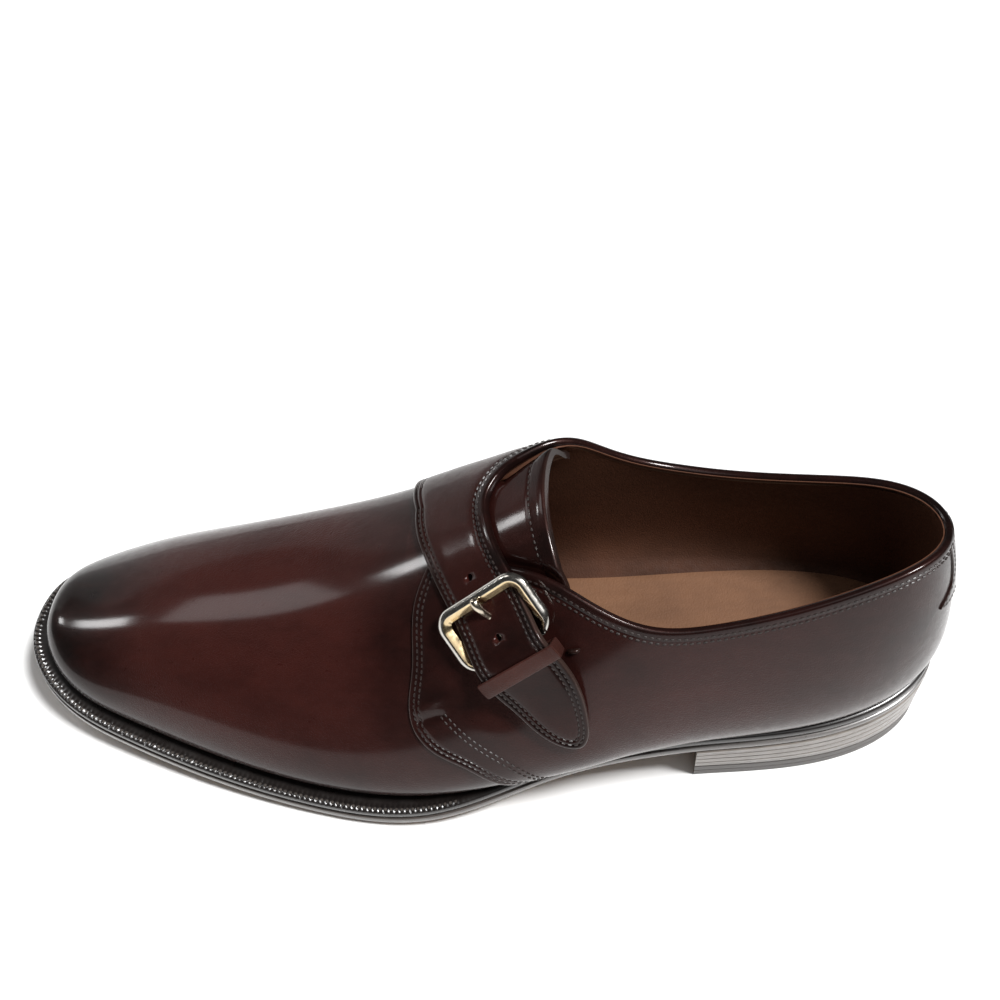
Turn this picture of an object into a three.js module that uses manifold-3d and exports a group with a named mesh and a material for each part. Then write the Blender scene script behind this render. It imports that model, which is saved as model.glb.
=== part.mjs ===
// Monk strap shoe, left foot, standing empty on its sole. Millimetres, +Z up.
// The toe points to -X and the outer (lateral) side, with the buckle, to -Y.
// The origin is on the floor under the middle of the shoe's box.

import * as THREE from 'three';
import { mergeVertices } from 'three/addons/utils/BufferGeometryUtils.js';
import Module from 'manifold-3d';

const wasm = await Module();
wasm.setup();

// Where the toe tip of the upper and the last's long axis lie in the shoe's frame.
const TOE_TIP_X = -139.98;
const AXIS_Y = 4.85;

// Thicknesses and clearances.
const GAP = 0.3;
const CURVED_GAP = 0.45;
const UPPER_WALL = 2.0;
const TONGUE_THICKNESS = 1.8;
const INSOLE_THICKNESS = 2.8;
const INSOLE_LIFT = 0.5;
const WELT_THICKNESS = 2.6;
const WELT_WIDTH_INSIDE = 7.0;
const OUTSOLE_THICKNESS = 3.2;
const TREAD_CROWN = 1.9;
const TOP_PIECE_THICKNESS = 6.0;
const STACK_TAPER_SHARE = 0.75;
const HEEL_TAPER = 1.6;
const HEEL_BREAST_X = 212.0;

// Buckle sizes.
const BAR_WIDTH = 4.2;
const BAR_THICKNESS = 2.8;
const BAR_SPACING = 16.5;
const SIDE_BAR_SPACING = 28.2;
const PIVOT_RADIUS = 1.05;
const PIVOT_LEVEL = 3.2;
const UPPER_BAR_LEVEL = 5.9;
const LOOP_INNER_RADIUS = PIVOT_RADIUS + GAP;
const LOOP_OUTER_RADIUS = 2.2;
const PRONG_RADIUS = 1.1;
const PRONG_LOOP_WIDTH = 2.6;
const CHAPE_WIDTH = 12.0;
const CHAPE_LENGTH = 10.0;
const CHAPE_LEVEL = 1.2;
const CHAPE_THICKNESS = 1.0;
const KEEPER_LENGTH = 4.6;
const KEEPER_THICKNESS = 1.1;
const KEEPER_LEVEL = CHAPE_LEVEL + CHAPE_THICKNESS + GAP;

// Stations run along the last from the toe tip. Over the first stretch they gather speed
// from the tip, and over the last stretch the sections swing round the back of the heel.
const TOE_EASE = 50.0;
const FAN_START_X = 208.0;
const FAN_LENGTH = 72.0;
const EASED = TOE_EASE * 2 / Math.PI;
const FAN_STATION = TOE_EASE + FAN_START_X - EASED;
const LAST_STATION = FAN_STATION + FAN_LENGTH;

// Sections of the upper's outer surface. A section goes from the feather edge, where the
// upper meets the welt, out over the bulge and up to the ridge of the instep. Lat is the
// outer side and Med the inner side; ridge is how far the ridge lies towards the inner side.
const SECTION_COLUMNS = [
  'station', 'featherLat', 'featherMed', 'bulgeLat', 'bulgeMed',
  'bulgeHeight', 'rise', 'ridge', 'fullLat', 'fullMed',
];
const SECTIONS = [
  [0, 0, 0, 0, 0, 0, 0, 0, 0.86, 0.86],
  [12, 9.5, 12.5, 0.7, 0.8, 4.0, 11.0, 0.4, 0.86, 0.86],
  [28, 20.5, 23.2, 1.9, 1.5, 6.8, 18.5, 0.8, 0.84, 0.84],
  [50, 30.5, 32.3, 2.2, 1.9, 8.5, 27.5, 1.2, 0.81, 0.81],
  [80, 40.5, 39.5, 2.9, 2.4, 9.7, 37.5, 2.6, 0.78, 0.77],
  [115, 48.2, 42.3, 4.4, 3.3, 10.4, 48.2, 6.4, 0.70, 0.76],
  [150, 50.6, 34.0, 5.0, 5.3, 12.0, 62.8, 10.3, 0.62, 0.77],
  [185, 45.3, 25.2, 7.2, 9.0, 14.3, 76.3, 10.8, 0.59, 0.82],
  [FAN_STATION, 36.8, 24.8, 6.6, 9.3, 17.0, 85.5, 7.2, 0.62, 0.82],
  [FAN_STATION + 36, 31.8, 26.9, 4.3, 4.8, 18.4, 87.5, 1.6, 0.68, 0.73],
  [LAST_STATION, 28.7, 28.7, 4.4, 4.4, 20.0, 88.5, 0, 0.81, 0.81],
];
const WIDTH_COLUMNS = [
  'featherLat', 'featherMed', 'bulgeLat', 'bulgeMed', 'bulgeHeight', 'rise',
];

// Height of the feather edge above the floor, by distance from the toe tip: toe spring,
// tread, arch and heel seat.
const SEAT_COLUMNS = ['x', 'height'];
const SEAT = [
  [-6, 20.6], [0, 18.5], [11.5, 14.9], [32, 12.1], [62, 9.9], [97, 8.2],
  [132, 10.2], [167, 18.3], [208, 24.0], [253, 26.8], [283, 29.0], [290, 29.4],
];

// How far welt and sole stand out beyond the feather edge.
const MARGIN_COLUMNS = ['station', 'lateral', 'medial'];
const MARGINS = [
  [0, 5.9, 5.9], [50, 6.1, 5.8], [115, 7.1, 5.4], [150, 6.4, 3.4],
  [185, 1.2, -1.0], [226, 1.2, 0.0], [266, 2.2, 2.4], [LAST_STATION, 2.6, 2.6],
];

// Edge of the collar opening. Girth is 0 on the ridge, -1 at the lateral feather edge and
// +1 at the medial one. The first points lie hidden under the strap.
const COLLAR_COLUMNS = ['station', 'girth'];
const COLLAR_LATERAL = [
  [152, 0], [156, -0.09], [164, -0.135], [174, -0.175], [185, -0.222], [200, -0.312],
  [216, -0.385], [236, -0.401], [258, -0.368], [280, -0.349], [LAST_STATION, -0.371],
];
const COLLAR_MEDIAL = [
  [152, 0], [156, 0.04], [166, 0.05], [176, 0.075], [185, 0.132], [200, 0.279],
  [216, 0.378], [236, 0.422], [258, 0.402], [280, 0.369], [LAST_STATION, 0.371],
];

// Tongue: its top edge by girth, and how far it reaches down each side under the quarters.
const TONGUE_FRONT = 150.0;
const TONGUE_FRONT_BOW = 8.0;
const TONGUE_COLUMN_COUNT = 15;
const TONGUE_ROW_COUNT = 11;
const TONGUE_RISE_FROM = 4.5;
const TONGUE_RISE_OVER = 6.0;
const TONGUE_COLUMNS = ['girth', 'topStation'];
const TONGUE_TOP = [
  [-0.33, 193], [-0.22, 189.3], [-0.11, 185.3], [0, 183.8], [0.1, 186], [0.2, 190],
];

// Strap centreline from its wing on the medial side over the ridge and through the buckle
// to the tip: half widths towards toe and heel, height of its underside above the upper
// and its thickness.
const STRAP_COLUMNS = ['station', 'girth', 'toeward', 'heelward', 'lift', 'thickness'];
const STRAP = [
  [169.0, 0.270, 24.0, 22.0, 0.45, 0.9],
  [165.0, 0.150, 19.0, 18.0, 0.45, 1.4],
  [160.2, 0.060, 16.5, 14.0, 0.45, 2.0],
  [157.5, 0.000, 14.4, 12.4, 0.45, 2.2],
  [159.0, -0.070, 12.4, 11.2, 0.5, 2.1],
  [162.5, -0.140, 11.2, 11.0, 0.9, 2.0],
  [167.9, -0.220, 11.2, 11.3, 1.4, 2.0],
  [173.4, -0.300, 11.5, 11.5, 3.6, 2.0],
  [177.8, -0.360, 11.5, 11.5, 6.1, 2.0],
  [181.0, -0.403, 11.5, 11.5, 4.8, 2.0],
  [184.8, -0.455, 11.5, 11.5, 3.2, 2.0],
  [189.6, -0.540, 11.5, 11.5, 2.0, 2.0],
  [196.1, -0.660, 11.5, 11.5, 1.4, 2.0],
];
const UPPER_BAR_ROW = 6;
const TIP_TAPER_LENGTH = 31.0;
const TIP_SHAPE = 1.8;
const KEEPER_FROM_PIVOT = 5.2;
const HOLE_RADIUS = 1.1;
const HOLES_FROM_UPPER_BAR = [-6.5, 11.5];

// Grid counts.
const SIDES = [-1, 1];
const VAMP_COLUMNS = 24;
const QUARTER_COLUMNS = 20;
const WALL_ROWS = 12;
const ROW_CROWDING = 0.45;
const COLUMNS = VAMP_COLUMNS + QUARTER_COLUMNS;

const LEATHER = { color: 0x4a221f, roughness: 0.35 };
const SOLE_LEATHER = { color: 0x2b2523, roughness: 0.5 };
const LINING = { color: 0x9a6f4d, roughness: 0.75 };
const NICKEL = { color: 0xb9b4a6, roughness: 0.25, metalness: 1 };
const RUBBER = { color: 0x1d1b1b, roughness: 0.8 };

// ---------------------------------------------------------------- curves through tables

/** Cubic spline through knots; each end is 'flat' (no slope) or 'free' (no bend). */
function spline(xs, ys, start = 'free', end = 'free') {
  const n = xs.length;
  const lower = new Array(n).fill(0);
  const middle = new Array(n).fill(1);
  const upper = new Array(n).fill(0);
  const right = new Array(n).fill(0);
  const step = (i) => xs[i + 1] - xs[i];
  const slope = (i) => (ys[i + 1] - ys[i]) / step(i);
  for (let i = 1; i < n - 1; i += 1) {
    lower[i] = step(i - 1);
    middle[i] = 2 * (step(i - 1) + step(i));
    upper[i] = step(i);
    right[i] = 6 * (slope(i) - slope(i - 1));
  }
  if (start === 'flat') {
    middle[0] = 2 * step(0);
    upper[0] = step(0);
    right[0] = 6 * slope(0);
  }
  if (end === 'flat') {
    middle[n - 1] = 2 * step(n - 2);
    lower[n - 1] = step(n - 2);
    right[n - 1] = -6 * slope(n - 2);
  }
  for (let i = 1; i < n; i += 1) {
    const factor = lower[i] / middle[i - 1];
    middle[i] -= factor * upper[i - 1];
    right[i] -= factor * right[i - 1];
  }
  const bend = new Array(n).fill(0);
  for (let i = n - 1; i >= 0; i -= 1) {
    const next = i < n - 1 ? upper[i] * bend[i + 1] : 0;
    bend[i] = (right[i] - next) / middle[i];
  }
  return (x) => {
    let i = 0;
    while (i < n - 2 && x > xs[i + 1]) i += 1;
    const h = step(i);
    const a = (xs[i + 1] - x) / h;
    const b = (x - xs[i]) / h;
    const curve = (a ** 3 - a) * bend[i] + (b ** 3 - b) * bend[i + 1];
    return a * ys[i] + b * ys[i + 1] + curve * h * h / 6;
  };
}

/** One spline for each named column of a table, over its first column or given knots. */
function tableSplines(columns, rows, ends = () => ['free', 'free'], knots = null) {
  const along = knots ?? rows.map((row) => row[0]);
  const entries = columns.map((name, i) => {
    const values = rows.map((row) => row[i]);
    return [name, spline(along, values, ...ends(name))];
  });
  return Object.fromEntries(entries);
}

const sectionEnds = (name) => [WIDTH_COLUMNS.includes(name) ? 'free' : 'flat', 'flat'];
const section = tableSplines(SECTION_COLUMNS, SECTIONS, sectionEnds);
const seatHeight = tableSplines(SEAT_COLUMNS, SEAT).height;
const margin = tableSplines(MARGIN_COLUMNS, MARGINS);
const tongueTop = tableSplines(TONGUE_COLUMNS, TONGUE_TOP).topStation;

const clamp01 = (value) => Math.min(1, Math.max(0, value));
const mix = (a, b, t) => a + (b - a) * t;
const ease = (t) => clamp01(t) ** 2 * (3 - 2 * clamp01(t));

// ------------------------------------------------------------------------ the last

/** Axis point and swing of the section plane at a station. */
function sectionPlane(s) {
  const swing = clamp01((s - FAN_STATION) / FAN_LENGTH) * Math.PI / 2;
  if (s > FAN_STATION) {
    const x = FAN_START_X + FAN_LENGTH * Math.sin(swing) * 2 / Math.PI;
    return { x, angle: (1 - Math.cos(swing)) * Math.PI / 2 };
  }
  const x = s < TOE_EASE ? EASED * (1 - Math.cos(s / EASED)) : EASED + s - TOE_EASE;
  return { x, angle: 0 };
}

/** Weights of six control points of a clamped cubic B-spline at v from 0 to 1. */
function controlWeights(v) {
  const knots = [0, 0, 0, 0, 1 / 3, 2 / 3, 1, 1, 1, 1];
  const at = Math.min(Math.max(v, 0), 1 - 1e-12);
  let weights = knots.slice(0, 9).map((k, i) => (at >= k && at < knots[i + 1] ? 1 : 0));
  for (let degree = 1; degree <= 3; degree += 1) {
    const next = [];
    for (let i = 0; i < 9 - degree; i += 1) {
      const rising = knots[i + degree] - knots[i];
      const falling = knots[i + degree + 1] - knots[i + 1];
      const left = rising > 0 ? (at - knots[i]) / rising * weights[i] : 0;
      const right = falling > 0 ? (knots[i + degree + 1] - at) / falling * weights[i + 1] : 0;
      next.push(left + right);
    }
    weights = next;
  }
  return weights;
}

/** Plan point of the feather edge. */
function featherPoint(s, side) {
  const { x, angle } = sectionPlane(s);
  const width = side < 0 ? section.featherLat(s) : section.featherMed(s);
  return new THREE.Vector2(x + width * Math.sin(angle), side * width * Math.cos(angle));
}

/** Outward plan direction of the feather edge. */
function featherOutward(s, side) {
  if (s <= 0) return new THREE.Vector2(-1, 0);
  if (s >= LAST_STATION) return new THREE.Vector2(1, 0);
  const behind = featherPoint(Math.max(s - 0.05, 0), side);
  const ahead = featherPoint(Math.min(s + 0.05, LAST_STATION), side);
  const along = ahead.sub(behind).normalize();
  return new THREE.Vector2(-side * along.y, side * along.x);
}

/** Outer surface of the upper at a station and a girth from -1 to +1. */
function lastPoint(s, girth) {
  const side = girth < 0 ? -1 : 1;
  const { x, angle } = sectionPlane(s);
  const lateral = side < 0;
  const feather = lateral ? section.featherLat(s) : section.featherMed(s);
  const bulge = lateral ? section.bulgeLat(s) : section.bulgeMed(s);
  const full = lateral ? section.fullLat(s) : section.fullMed(s);
  const widest = feather + bulge;
  const rise = section.rise(s);
  const bulgeHeight = section.bulgeHeight(s);
  const ridge = section.ridge(s) * side;
  const meanWidth = (section.featherLat(s) + section.featherMed(s)
    + section.bulgeLat(s) + section.bulgeMed(s)) / 2;
  const outward = [feather, feather + 0.75 * bulge, widest, full * widest,
    ridge + 0.42 * meanWidth, ridge];
  const upward = [0, 0.3 * bulgeHeight, bulgeHeight, 0.7 * rise, rise, rise];
  const weights = controlWeights(1 - Math.abs(girth));
  const out = weights.reduce((sum, w, i) => sum + w * outward[i], 0);
  const up = weights.reduce((sum, w, i) => sum + w * upward[i], 0);
  const floor = seatHeight(x + feather * Math.sin(angle));
  return new THREE.Vector3(x + out * Math.sin(angle), side * out * Math.cos(angle), floor + up);
}

/** Surface point with its two tangents and its outward normal. */
function lastFrame(s, girth) {
  const station = Math.min(Math.max(s, 0.6), LAST_STATION - 0.01);
  const step = 0.01;
  const turn = 0.0005;
  const inside = Math.min(Math.max(girth, -1 + turn), 1 - turn);
  const alongS = lastPoint(station + step, girth).sub(lastPoint(station - step, girth));
  alongS.divideScalar(2 * step);
  const alongGirth = lastPoint(station, inside + turn).sub(lastPoint(station, inside - turn));
  alongGirth.divideScalar(2 * turn);
  const normal = new THREE.Vector3().crossVectors(alongS, alongGirth);
  if (s >= LAST_STATION) normal.y = 0;
  normal.normalize();
  return { point: lastPoint(s, girth), alongS, alongGirth, normal };
}

/** Point at a height above (or below) the upper's outer surface. */
function onUpper(s, girth, level) {
  const { point, normal } = lastFrame(s, girth);
  return point.addScaledVector(normal, level);
}

// ------------------------------------------------------------------- closed meshes

/** Gathers faces and gives back one closed, outward-facing geometry. */
class Skin {
  constructor() {
    this.values = [];
  }

  triangle(a, b, c) {
    for (const p of [a, b, c]) this.values.push(p.x, p.y, p.z);
  }

  quad(a, b, c, d, flip = false) {
    if (flip) {
      this.quad(d, c, b, a);
      return;
    }
    this.triangle(a, b, c);
    this.triangle(a, c, d);
  }

  /** A sheet with two faces. rim(edge, i) says where its edge is walled. */
  sheet(countU, countV, front, back, rim, flip = false) {
    const fronts = pointGrid(countU, countV, front);
    const backs = pointGrid(countU, countV, back);
    for (let i = 0; i < countU; i += 1) {
      for (let j = 0; j < countV; j += 1) {
        const [f, b] = [fronts, backs];
        this.quad(f[i][j], f[i + 1][j], f[i + 1][j + 1], f[i][j + 1], flip);
        this.quad(b[i][j + 1], b[i + 1][j + 1], b[i + 1][j], b[i][j], flip);
      }
      if (rim('v0', i)) this.quad(fronts[i + 1][0], fronts[i][0], backs[i][0], backs[i + 1][0], flip);
      const e = countV;
      if (rim('v1', i)) this.quad(fronts[i][e], fronts[i + 1][e], backs[i + 1][e], backs[i][e], flip);
    }
    for (let j = 0; j < countV; j += 1) {
      const e = countU;
      if (rim('u0', j)) this.quad(fronts[0][j], fronts[0][j + 1], backs[0][j + 1], backs[0][j], flip);
      if (rim('u1', j)) this.quad(fronts[e][j + 1], fronts[e][j], backs[e][j], backs[e][j + 1], flip);
    }
  }

  /** Rings of points joined into a tube, closed on itself or capped at both ends. */
  tube(rings, closed) {
    const count = rings.length;
    const around = rings[0].length;
    for (let i = 0; i < (closed ? count : count - 1); i += 1) {
      const here = rings[i];
      const next = rings[(i + 1) % count];
      for (let j = 0; j < around; j += 1) {
        const k = (j + 1) % around;
        this.quad(here[j], here[k], next[k], next[j]);
      }
    }
    if (!closed) {
      this.cap(rings[0], true);
      this.cap(rings[count - 1], false);
    }
  }

  cap(ring, first) {
    const centre = ring.reduce((sum, p) => sum.add(p), new THREE.Vector3());
    centre.divideScalar(ring.length);
    ring.forEach((p, j) => {
      const q = ring[(j + 1) % ring.length];
      if (first) this.triangle(centre, q, p);
      else this.triangle(centre, p, q);
    });
  }

  geometry() {
    const loose = new THREE.BufferGeometry();
    loose.setAttribute('position', new THREE.Float32BufferAttribute(this.values, 3));
    const welded = mergeVertices(loose, 1e-3);
    const index = welded.getIndex().array;
    const kept = [];
    for (let i = 0; i < index.length; i += 3) {
      const [a, b, c] = [index[i], index[i + 1], index[i + 2]];
      if (a !== b && b !== c && c !== a) kept.push(a, b, c);
    }
    if (signedVolume(welded.getAttribute('position'), kept) < 0) kept.reverse();
    welded.setIndex(kept);
    return welded;
  }
}

function pointGrid(countU, countV, point) {
  const columns = [];
  for (let i = 0; i <= countU; i += 1) {
    const column = [];
    for (let j = 0; j <= countV; j += 1) column.push(point(i / countU, j / countV));
    columns.push(column);
  }
  return columns;
}

function signedVolume(position, index) {
  const [a, b, c] = [new THREE.Vector3(), new THREE.Vector3(), new THREE.Vector3()];
  let volume = 0;
  for (let i = 0; i < index.length; i += 3) {
    a.fromBufferAttribute(position, index[i]);
    b.fromBufferAttribute(position, index[i + 1]);
    c.fromBufferAttribute(position, index[i + 2]);
    volume += a.dot(b.cross(c)) / 6;
  }
  return volume;
}

/** A closed geometry as a manifold solid, and back. */
function toSolid(geometry) {
  const vertProperties = new Float32Array(geometry.getAttribute('position').array);
  const triVerts = new Uint32Array(geometry.getIndex().array);
  return new wasm.Manifold(new wasm.Mesh({ numProp: 3, vertProperties, triVerts }));
}

function toGeometry(solid) {
  const { vertProperties, triVerts } = solid.getMesh();
  const geometry = new THREE.BufferGeometry();
  geometry.setAttribute('position', new THREE.BufferAttribute(vertProperties, 3));
  geometry.setIndex(new THREE.BufferAttribute(triVerts, 1));
  return geometry;
}

// --------------------------------------------------------------------- upper, tongue

/** Curve of the collar edge, by share of its length from the throat to the heel. */
function collarCurve(rows) {
  const points = rows.map(([s, girth]) => lastPoint(s, girth));
  const along = [0];
  points.slice(1).forEach((p, i) => along.push(along[i] + p.distanceTo(points[i])));
  const { station, girth } = tableSplines(COLLAR_COLUMNS, rows, undefined, along);
  const total = along[along.length - 1];
  return (t) => [station(t * total), girth(t * total)];
}

const collar = { '-1': collarCurve(COLLAR_LATERAL), 1: collarCurve(COLLAR_MEDIAL) };
const THROAT_STATION = COLLAR_LATERAL[0][0];

/** Station at the feather edge, by share u of all columns from toe to heel. */
function footStation(u) {
  const column = u * COLUMNS;
  if (column <= VAMP_COLUMNS) return THROAT_STATION * column / VAMP_COLUMNS;
  return mix(THROAT_STATION, LAST_STATION, (column - VAMP_COLUMNS) / QUARTER_COLUMNS);
}

/** Station and girth on one side's wall: u from toe to heel, row from feather edge up. */
function wallPlace(u, row, side) {
  const v = row + ROW_CROWDING * row * (1 - row);
  const foot = footStation(u);
  if (u * COLUMNS <= VAMP_COLUMNS) return [foot, side * (1 - v)];
  const t = (u * COLUMNS - VAMP_COLUMNS) / QUARTER_COLUMNS;
  const [edgeStation, edgeGirth] = collar[side](t);
  return [mix(foot, edgeStation, ease(v)), mix(side, edgeGirth, v)];
}

/** Inner face of the wall: a wall's thickness in, and level at the feather edge. */
function insideWall(s, girth, side) {
  const { point, normal } = lastFrame(s, girth === 0 ? side * 1e-9 : girth);
  const level = featherOutward(s, side);
  const flat = new THREE.Vector3(level.x, level.y, 0);
  if (s <= 0) return point.addScaledVector(flat, -UPPER_WALL);
  const upright = ease((1 - Math.abs(girth)) / 0.12);
  const direction = flat.lerp(normal, upright).normalize();
  return point.addScaledVector(direction, -UPPER_WALL);
}

function upperGeometry() {
  const skin = new Skin();
  for (const side of SIDES) {
    const outer = (u, v) => lastPoint(...wallPlace(u, v, side));
    const inner = (u, v) => insideWall(...wallPlace(u, v, side), side);
    const rim = (edge, i) => edge === 'v0' || (edge === 'v1' && i >= VAMP_COLUMNS);
    skin.sheet(COLUMNS, WALL_ROWS, outer, inner, rim, side > 0);
  }
  return skin.geometry();
}

const collarSamples = SIDES.map((side) => {
  const samples = [];
  for (let i = 0; i <= 80; i += 1) samples.push(collar[side](i / 80));
  return samples.map(([s, girth]) => ({ s, girth, point: lastPoint(s, girth) }));
});

/** Distance inside the collar opening, negative under the wall. */
function insideOpening(s, girth) {
  const point = lastPoint(s, girth);
  const distances = collarSamples.flat().map((sample) => sample.point.distanceTo(point));
  const [lateralEdge, medialEdge] = collarSamples.map((samples) => {
    const next = samples.findIndex((sample) => sample.s > s);
    return samples[Math.max(next, 0)].girth;
  });
  const open = s > THROAT_STATION && girth > lateralEdge && girth < medialEdge;
  return Math.min(...distances) * (open ? 1 : -1);
}

/** The tongue lies level with the upper in the opening and dives under its edge. */
function tonguePlace(u, v) {
  const girth = mix(TONGUE_TOP[0][0], TONGUE_TOP[TONGUE_TOP.length - 1][0], u);
  const front = TONGUE_FRONT - TONGUE_FRONT_BOW * (1 - (2 * u - 1) ** 2);
  return [mix(front, tongueTop(girth), v), girth];
}

function tongueGeometry() {
  const under = UPPER_WALL + 3 * GAP;
  const face = (u, v, depth) => {
    const [s, girth] = tonguePlace(u, v);
    const rise = ease((insideOpening(s, girth) - TONGUE_RISE_FROM) / TONGUE_RISE_OVER);
    const level = -under * (1 - rise);
    return onUpper(s, girth, level - depth);
  };
  const skin = new Skin();
  const top = (u, v) => face(u, v, 0);
  const bottom = (u, v) => face(u, v, TONGUE_THICKNESS);
  skin.sheet(TONGUE_COLUMN_COUNT, TONGUE_ROW_COUNT, top, bottom, () => true);
  return skin.geometry();
}

// --------------------------------------------------------------------------- bottom

const ringMargin = (s, side) => (side < 0 ? margin.lateral(s) : margin.medial(s));

/** Plan point standing out from the feather edge by an amount. */
function outlinePoint(s, side, out) {
  return featherPoint(s, side).addScaledVector(featherOutward(s, side), out);
}

const SPINE_START = 14.0;
const SPINE_END = sectionPlane(LAST_STATION).x;

/** Plan point at a share r of the way from the plate's spine to its outline. */
function platePoint(s, side, out, r) {
  const edge = outlinePoint(s, side, out(s, side));
  const spine = mix(SPINE_START, SPINE_END, sectionPlane(s).x / SPINE_END);
  return new THREE.Vector2(mix(spine, edge.x, r), edge.y * r);
}

/** A plate on the outline between a top and a bottom height, both functions of x and r. */
function plateGeometry(out, top, bottom, rows = 2) {
  const skin = new Skin();
  for (const side of SIDES) {
    const face = (height) => (u, r) => {
      const p = platePoint(footStation(u), side, out, r);
      return new THREE.Vector3(p.x, p.y, height(p.x, r));
    };
    skin.sheet(COLUMNS, rows, face(top), face(bottom), (edge) => edge === 'v1', side < 0);
  }
  return skin.geometry();
}

function insoleGeometry() {
  const out = () => -(UPPER_WALL + CURVED_GAP);
  const bottom = (x) => seatHeight(x) + INSOLE_LIFT;
  return plateGeometry(out, (x) => bottom(x) + INSOLE_THICKNESS, bottom);
}

const weltTop = (x) => seatHeight(x) - CURVED_GAP;
const weltBottom = (x) => weltTop(x) - WELT_THICKNESS;
const outsoleTop = (x) => weltBottom(x) - CURVED_GAP;

/** Underside of the outsole: crowned across and worn flat where it meets the floor. */
function outsoleBottom(x, r) {
  const tread = ease((x - 10) / 60) * ease((190 - x) / 50);
  const crowned = outsoleTop(x) - OUTSOLE_THICKNESS - TREAD_CROWN * tread * (1 - r * r);
  return Math.max(0, crowned);
}

function weltGeometry() {
  const rings = [];
  for (let i = 0; i < 2 * COLUMNS; i += 1) {
    const side = i <= COLUMNS ? -1 : 1;
    const s = footStation(side < 0 ? i / COLUMNS : 2 - i / COLUMNS);
    const outer = outlinePoint(s, side, ringMargin(s, side));
    const inner = outlinePoint(s, side, -WELT_WIDTH_INSIDE);
    rings.push([
      new THREE.Vector3(outer.x, outer.y, weltTop(outer.x)),
      new THREE.Vector3(outer.x, outer.y, weltBottom(outer.x)),
      new THREE.Vector3(inner.x, inner.y, weltBottom(inner.x)),
      new THREE.Vector3(inner.x, inner.y, weltTop(inner.x)),
    ]);
  }
  const skin = new Skin();
  skin.tube(rings, true);
  return skin.geometry();
}

/** Closed outline of the heel at a taper, from breast corner to breast corner. */
function heelOutline(taper) {
  const points = [];
  const start = FAN_STATION + HEEL_BREAST_X - FAN_START_X;
  const count = 20;
  for (const side of SIDES) {
    for (let i = 0; i <= count; i += 1) {
      const share = side < 0 ? i / count : 1 - i / count;
      const s = mix(start, LAST_STATION, share);
      points.push(outlinePoint(s, side, ringMargin(s, side) - taper));
    }
  }
  return points.filter((p, i) => i === 0 || p.distanceTo(points[i - 1]) > 0.01);
}

/** Solid between two heights under the heel, narrowing downward. */
function heelGeometry(top, bottom, taperTop, taperBottom) {
  const upperRim = heelOutline(taperTop);
  const lowerRim = heelOutline(taperBottom);
  const middle = (rim) => rim.reduce((sum, p) => sum.add(p), new THREE.Vector2())
    .divideScalar(rim.length);
  const skin = new Skin();
  const face = (rim, height, up) => {
    const centre = middle(rim);
    const steps = 2;
    const at = (p, r) => {
      const q = centre.clone().lerp(p, r);
      return new THREE.Vector3(q.x, q.y, height(q.x));
    };
    rim.forEach((p, i) => {
      const q = rim[(i + 1) % rim.length];
      for (let k = 0; k < steps; k += 1) {
        const [r0, r1] = [k / steps, (k + 1) / steps];
        skin.quad(at(p, r0), at(p, r1), at(q, r1), at(q, r0), !up);
      }
    });
  };
  face(upperRim, top, true);
  face(lowerRim, bottom, false);
  upperRim.forEach((p, i) => {
    const j = (i + 1) % upperRim.length;
    const [a, b] = [upperRim[i], upperRim[j]];
    const [c, d] = [lowerRim[j], lowerRim[i]];
    skin.quad(
      new THREE.Vector3(b.x, b.y, top(b.x)),
      new THREE.Vector3(a.x, a.y, top(a.x)),
      new THREE.Vector3(d.x, d.y, bottom(d.x)),
      new THREE.Vector3(c.x, c.y, bottom(c.x)),
    );
  });
  return skin.geometry();
}

// ------------------------------------------------------------------- strap and buckle

const strapAlong = [0];
STRAP.slice(1).forEach(([s, girth], i) => {
  const [lastS, lastGirth] = STRAP[i];
  const step = lastPoint(s, girth).distanceTo(lastPoint(lastS, lastGirth));
  strapAlong.push(strapAlong[i] + step);
});
const strap = tableSplines(STRAP_COLUMNS, STRAP, undefined, strapAlong);
const STRAP_END = strapAlong[strapAlong.length - 1];
const UPPER_BAR_AT = strapAlong[UPPER_BAR_ROW];
const PIVOT_AT = UPPER_BAR_AT + BAR_SPACING;
const KEEPER_AT = PIVOT_AT + KEEPER_FROM_PIVOT;

/** Walks a distance over the upper from a place, straight ahead in a direction. */
function walk(s, girth, direction, distance) {
  const steps = Math.max(1, Math.ceil(distance / 2.5));
  const heading = direction.clone();
  let [atS, atGirth] = [s, girth];
  for (let i = 0; i < steps; i += 1) {
    const { alongS, alongGirth, normal } = lastFrame(atS, atGirth);
    heading.addScaledVector(normal, -heading.dot(normal)).normalize();
    const [ss, gg, sg] = [alongS.dot(alongS), alongGirth.dot(alongGirth), alongS.dot(alongGirth)];
    const [hs, hg] = [heading.dot(alongS), heading.dot(alongGirth)];
    const scale = distance / steps / (ss * gg - sg * sg);
    atS += scale * (hs * gg - hg * sg);
    atGirth += scale * (hg * ss - hs * sg);
  }
  return [atS, atGirth];
}

/** Place on the upper at a distance along the strap and across it, heelward positive. */
function strapPlace(t, across) {
  const [s, girth] = [strap.station(t), strap.girth(t)];
  const { normal } = lastFrame(s, girth);
  const [before, after] = [t - 0.2, t + 0.2].map((a) => lastPoint(strap.station(a), strap.girth(a)));
  const direction = new THREE.Vector3().crossVectors(after.sub(before), normal).normalize();
  if (direction.x < 0) direction.negate();
  if (across < 0) direction.negate();
  return walk(s, girth, direction, Math.abs(across));
}

function strapPoint(t, across, level) {
  return onUpper(...strapPlace(t, across), level);
}

/** The strap narrows to a pointed round tip. */
function tipShare(t) {
  const share = clamp01((t - STRAP_END + TIP_TAPER_LENGTH) / TIP_TAPER_LENGTH);
  return (1 - share ** TIP_SHAPE) ** (1 / TIP_SHAPE);
}

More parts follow.
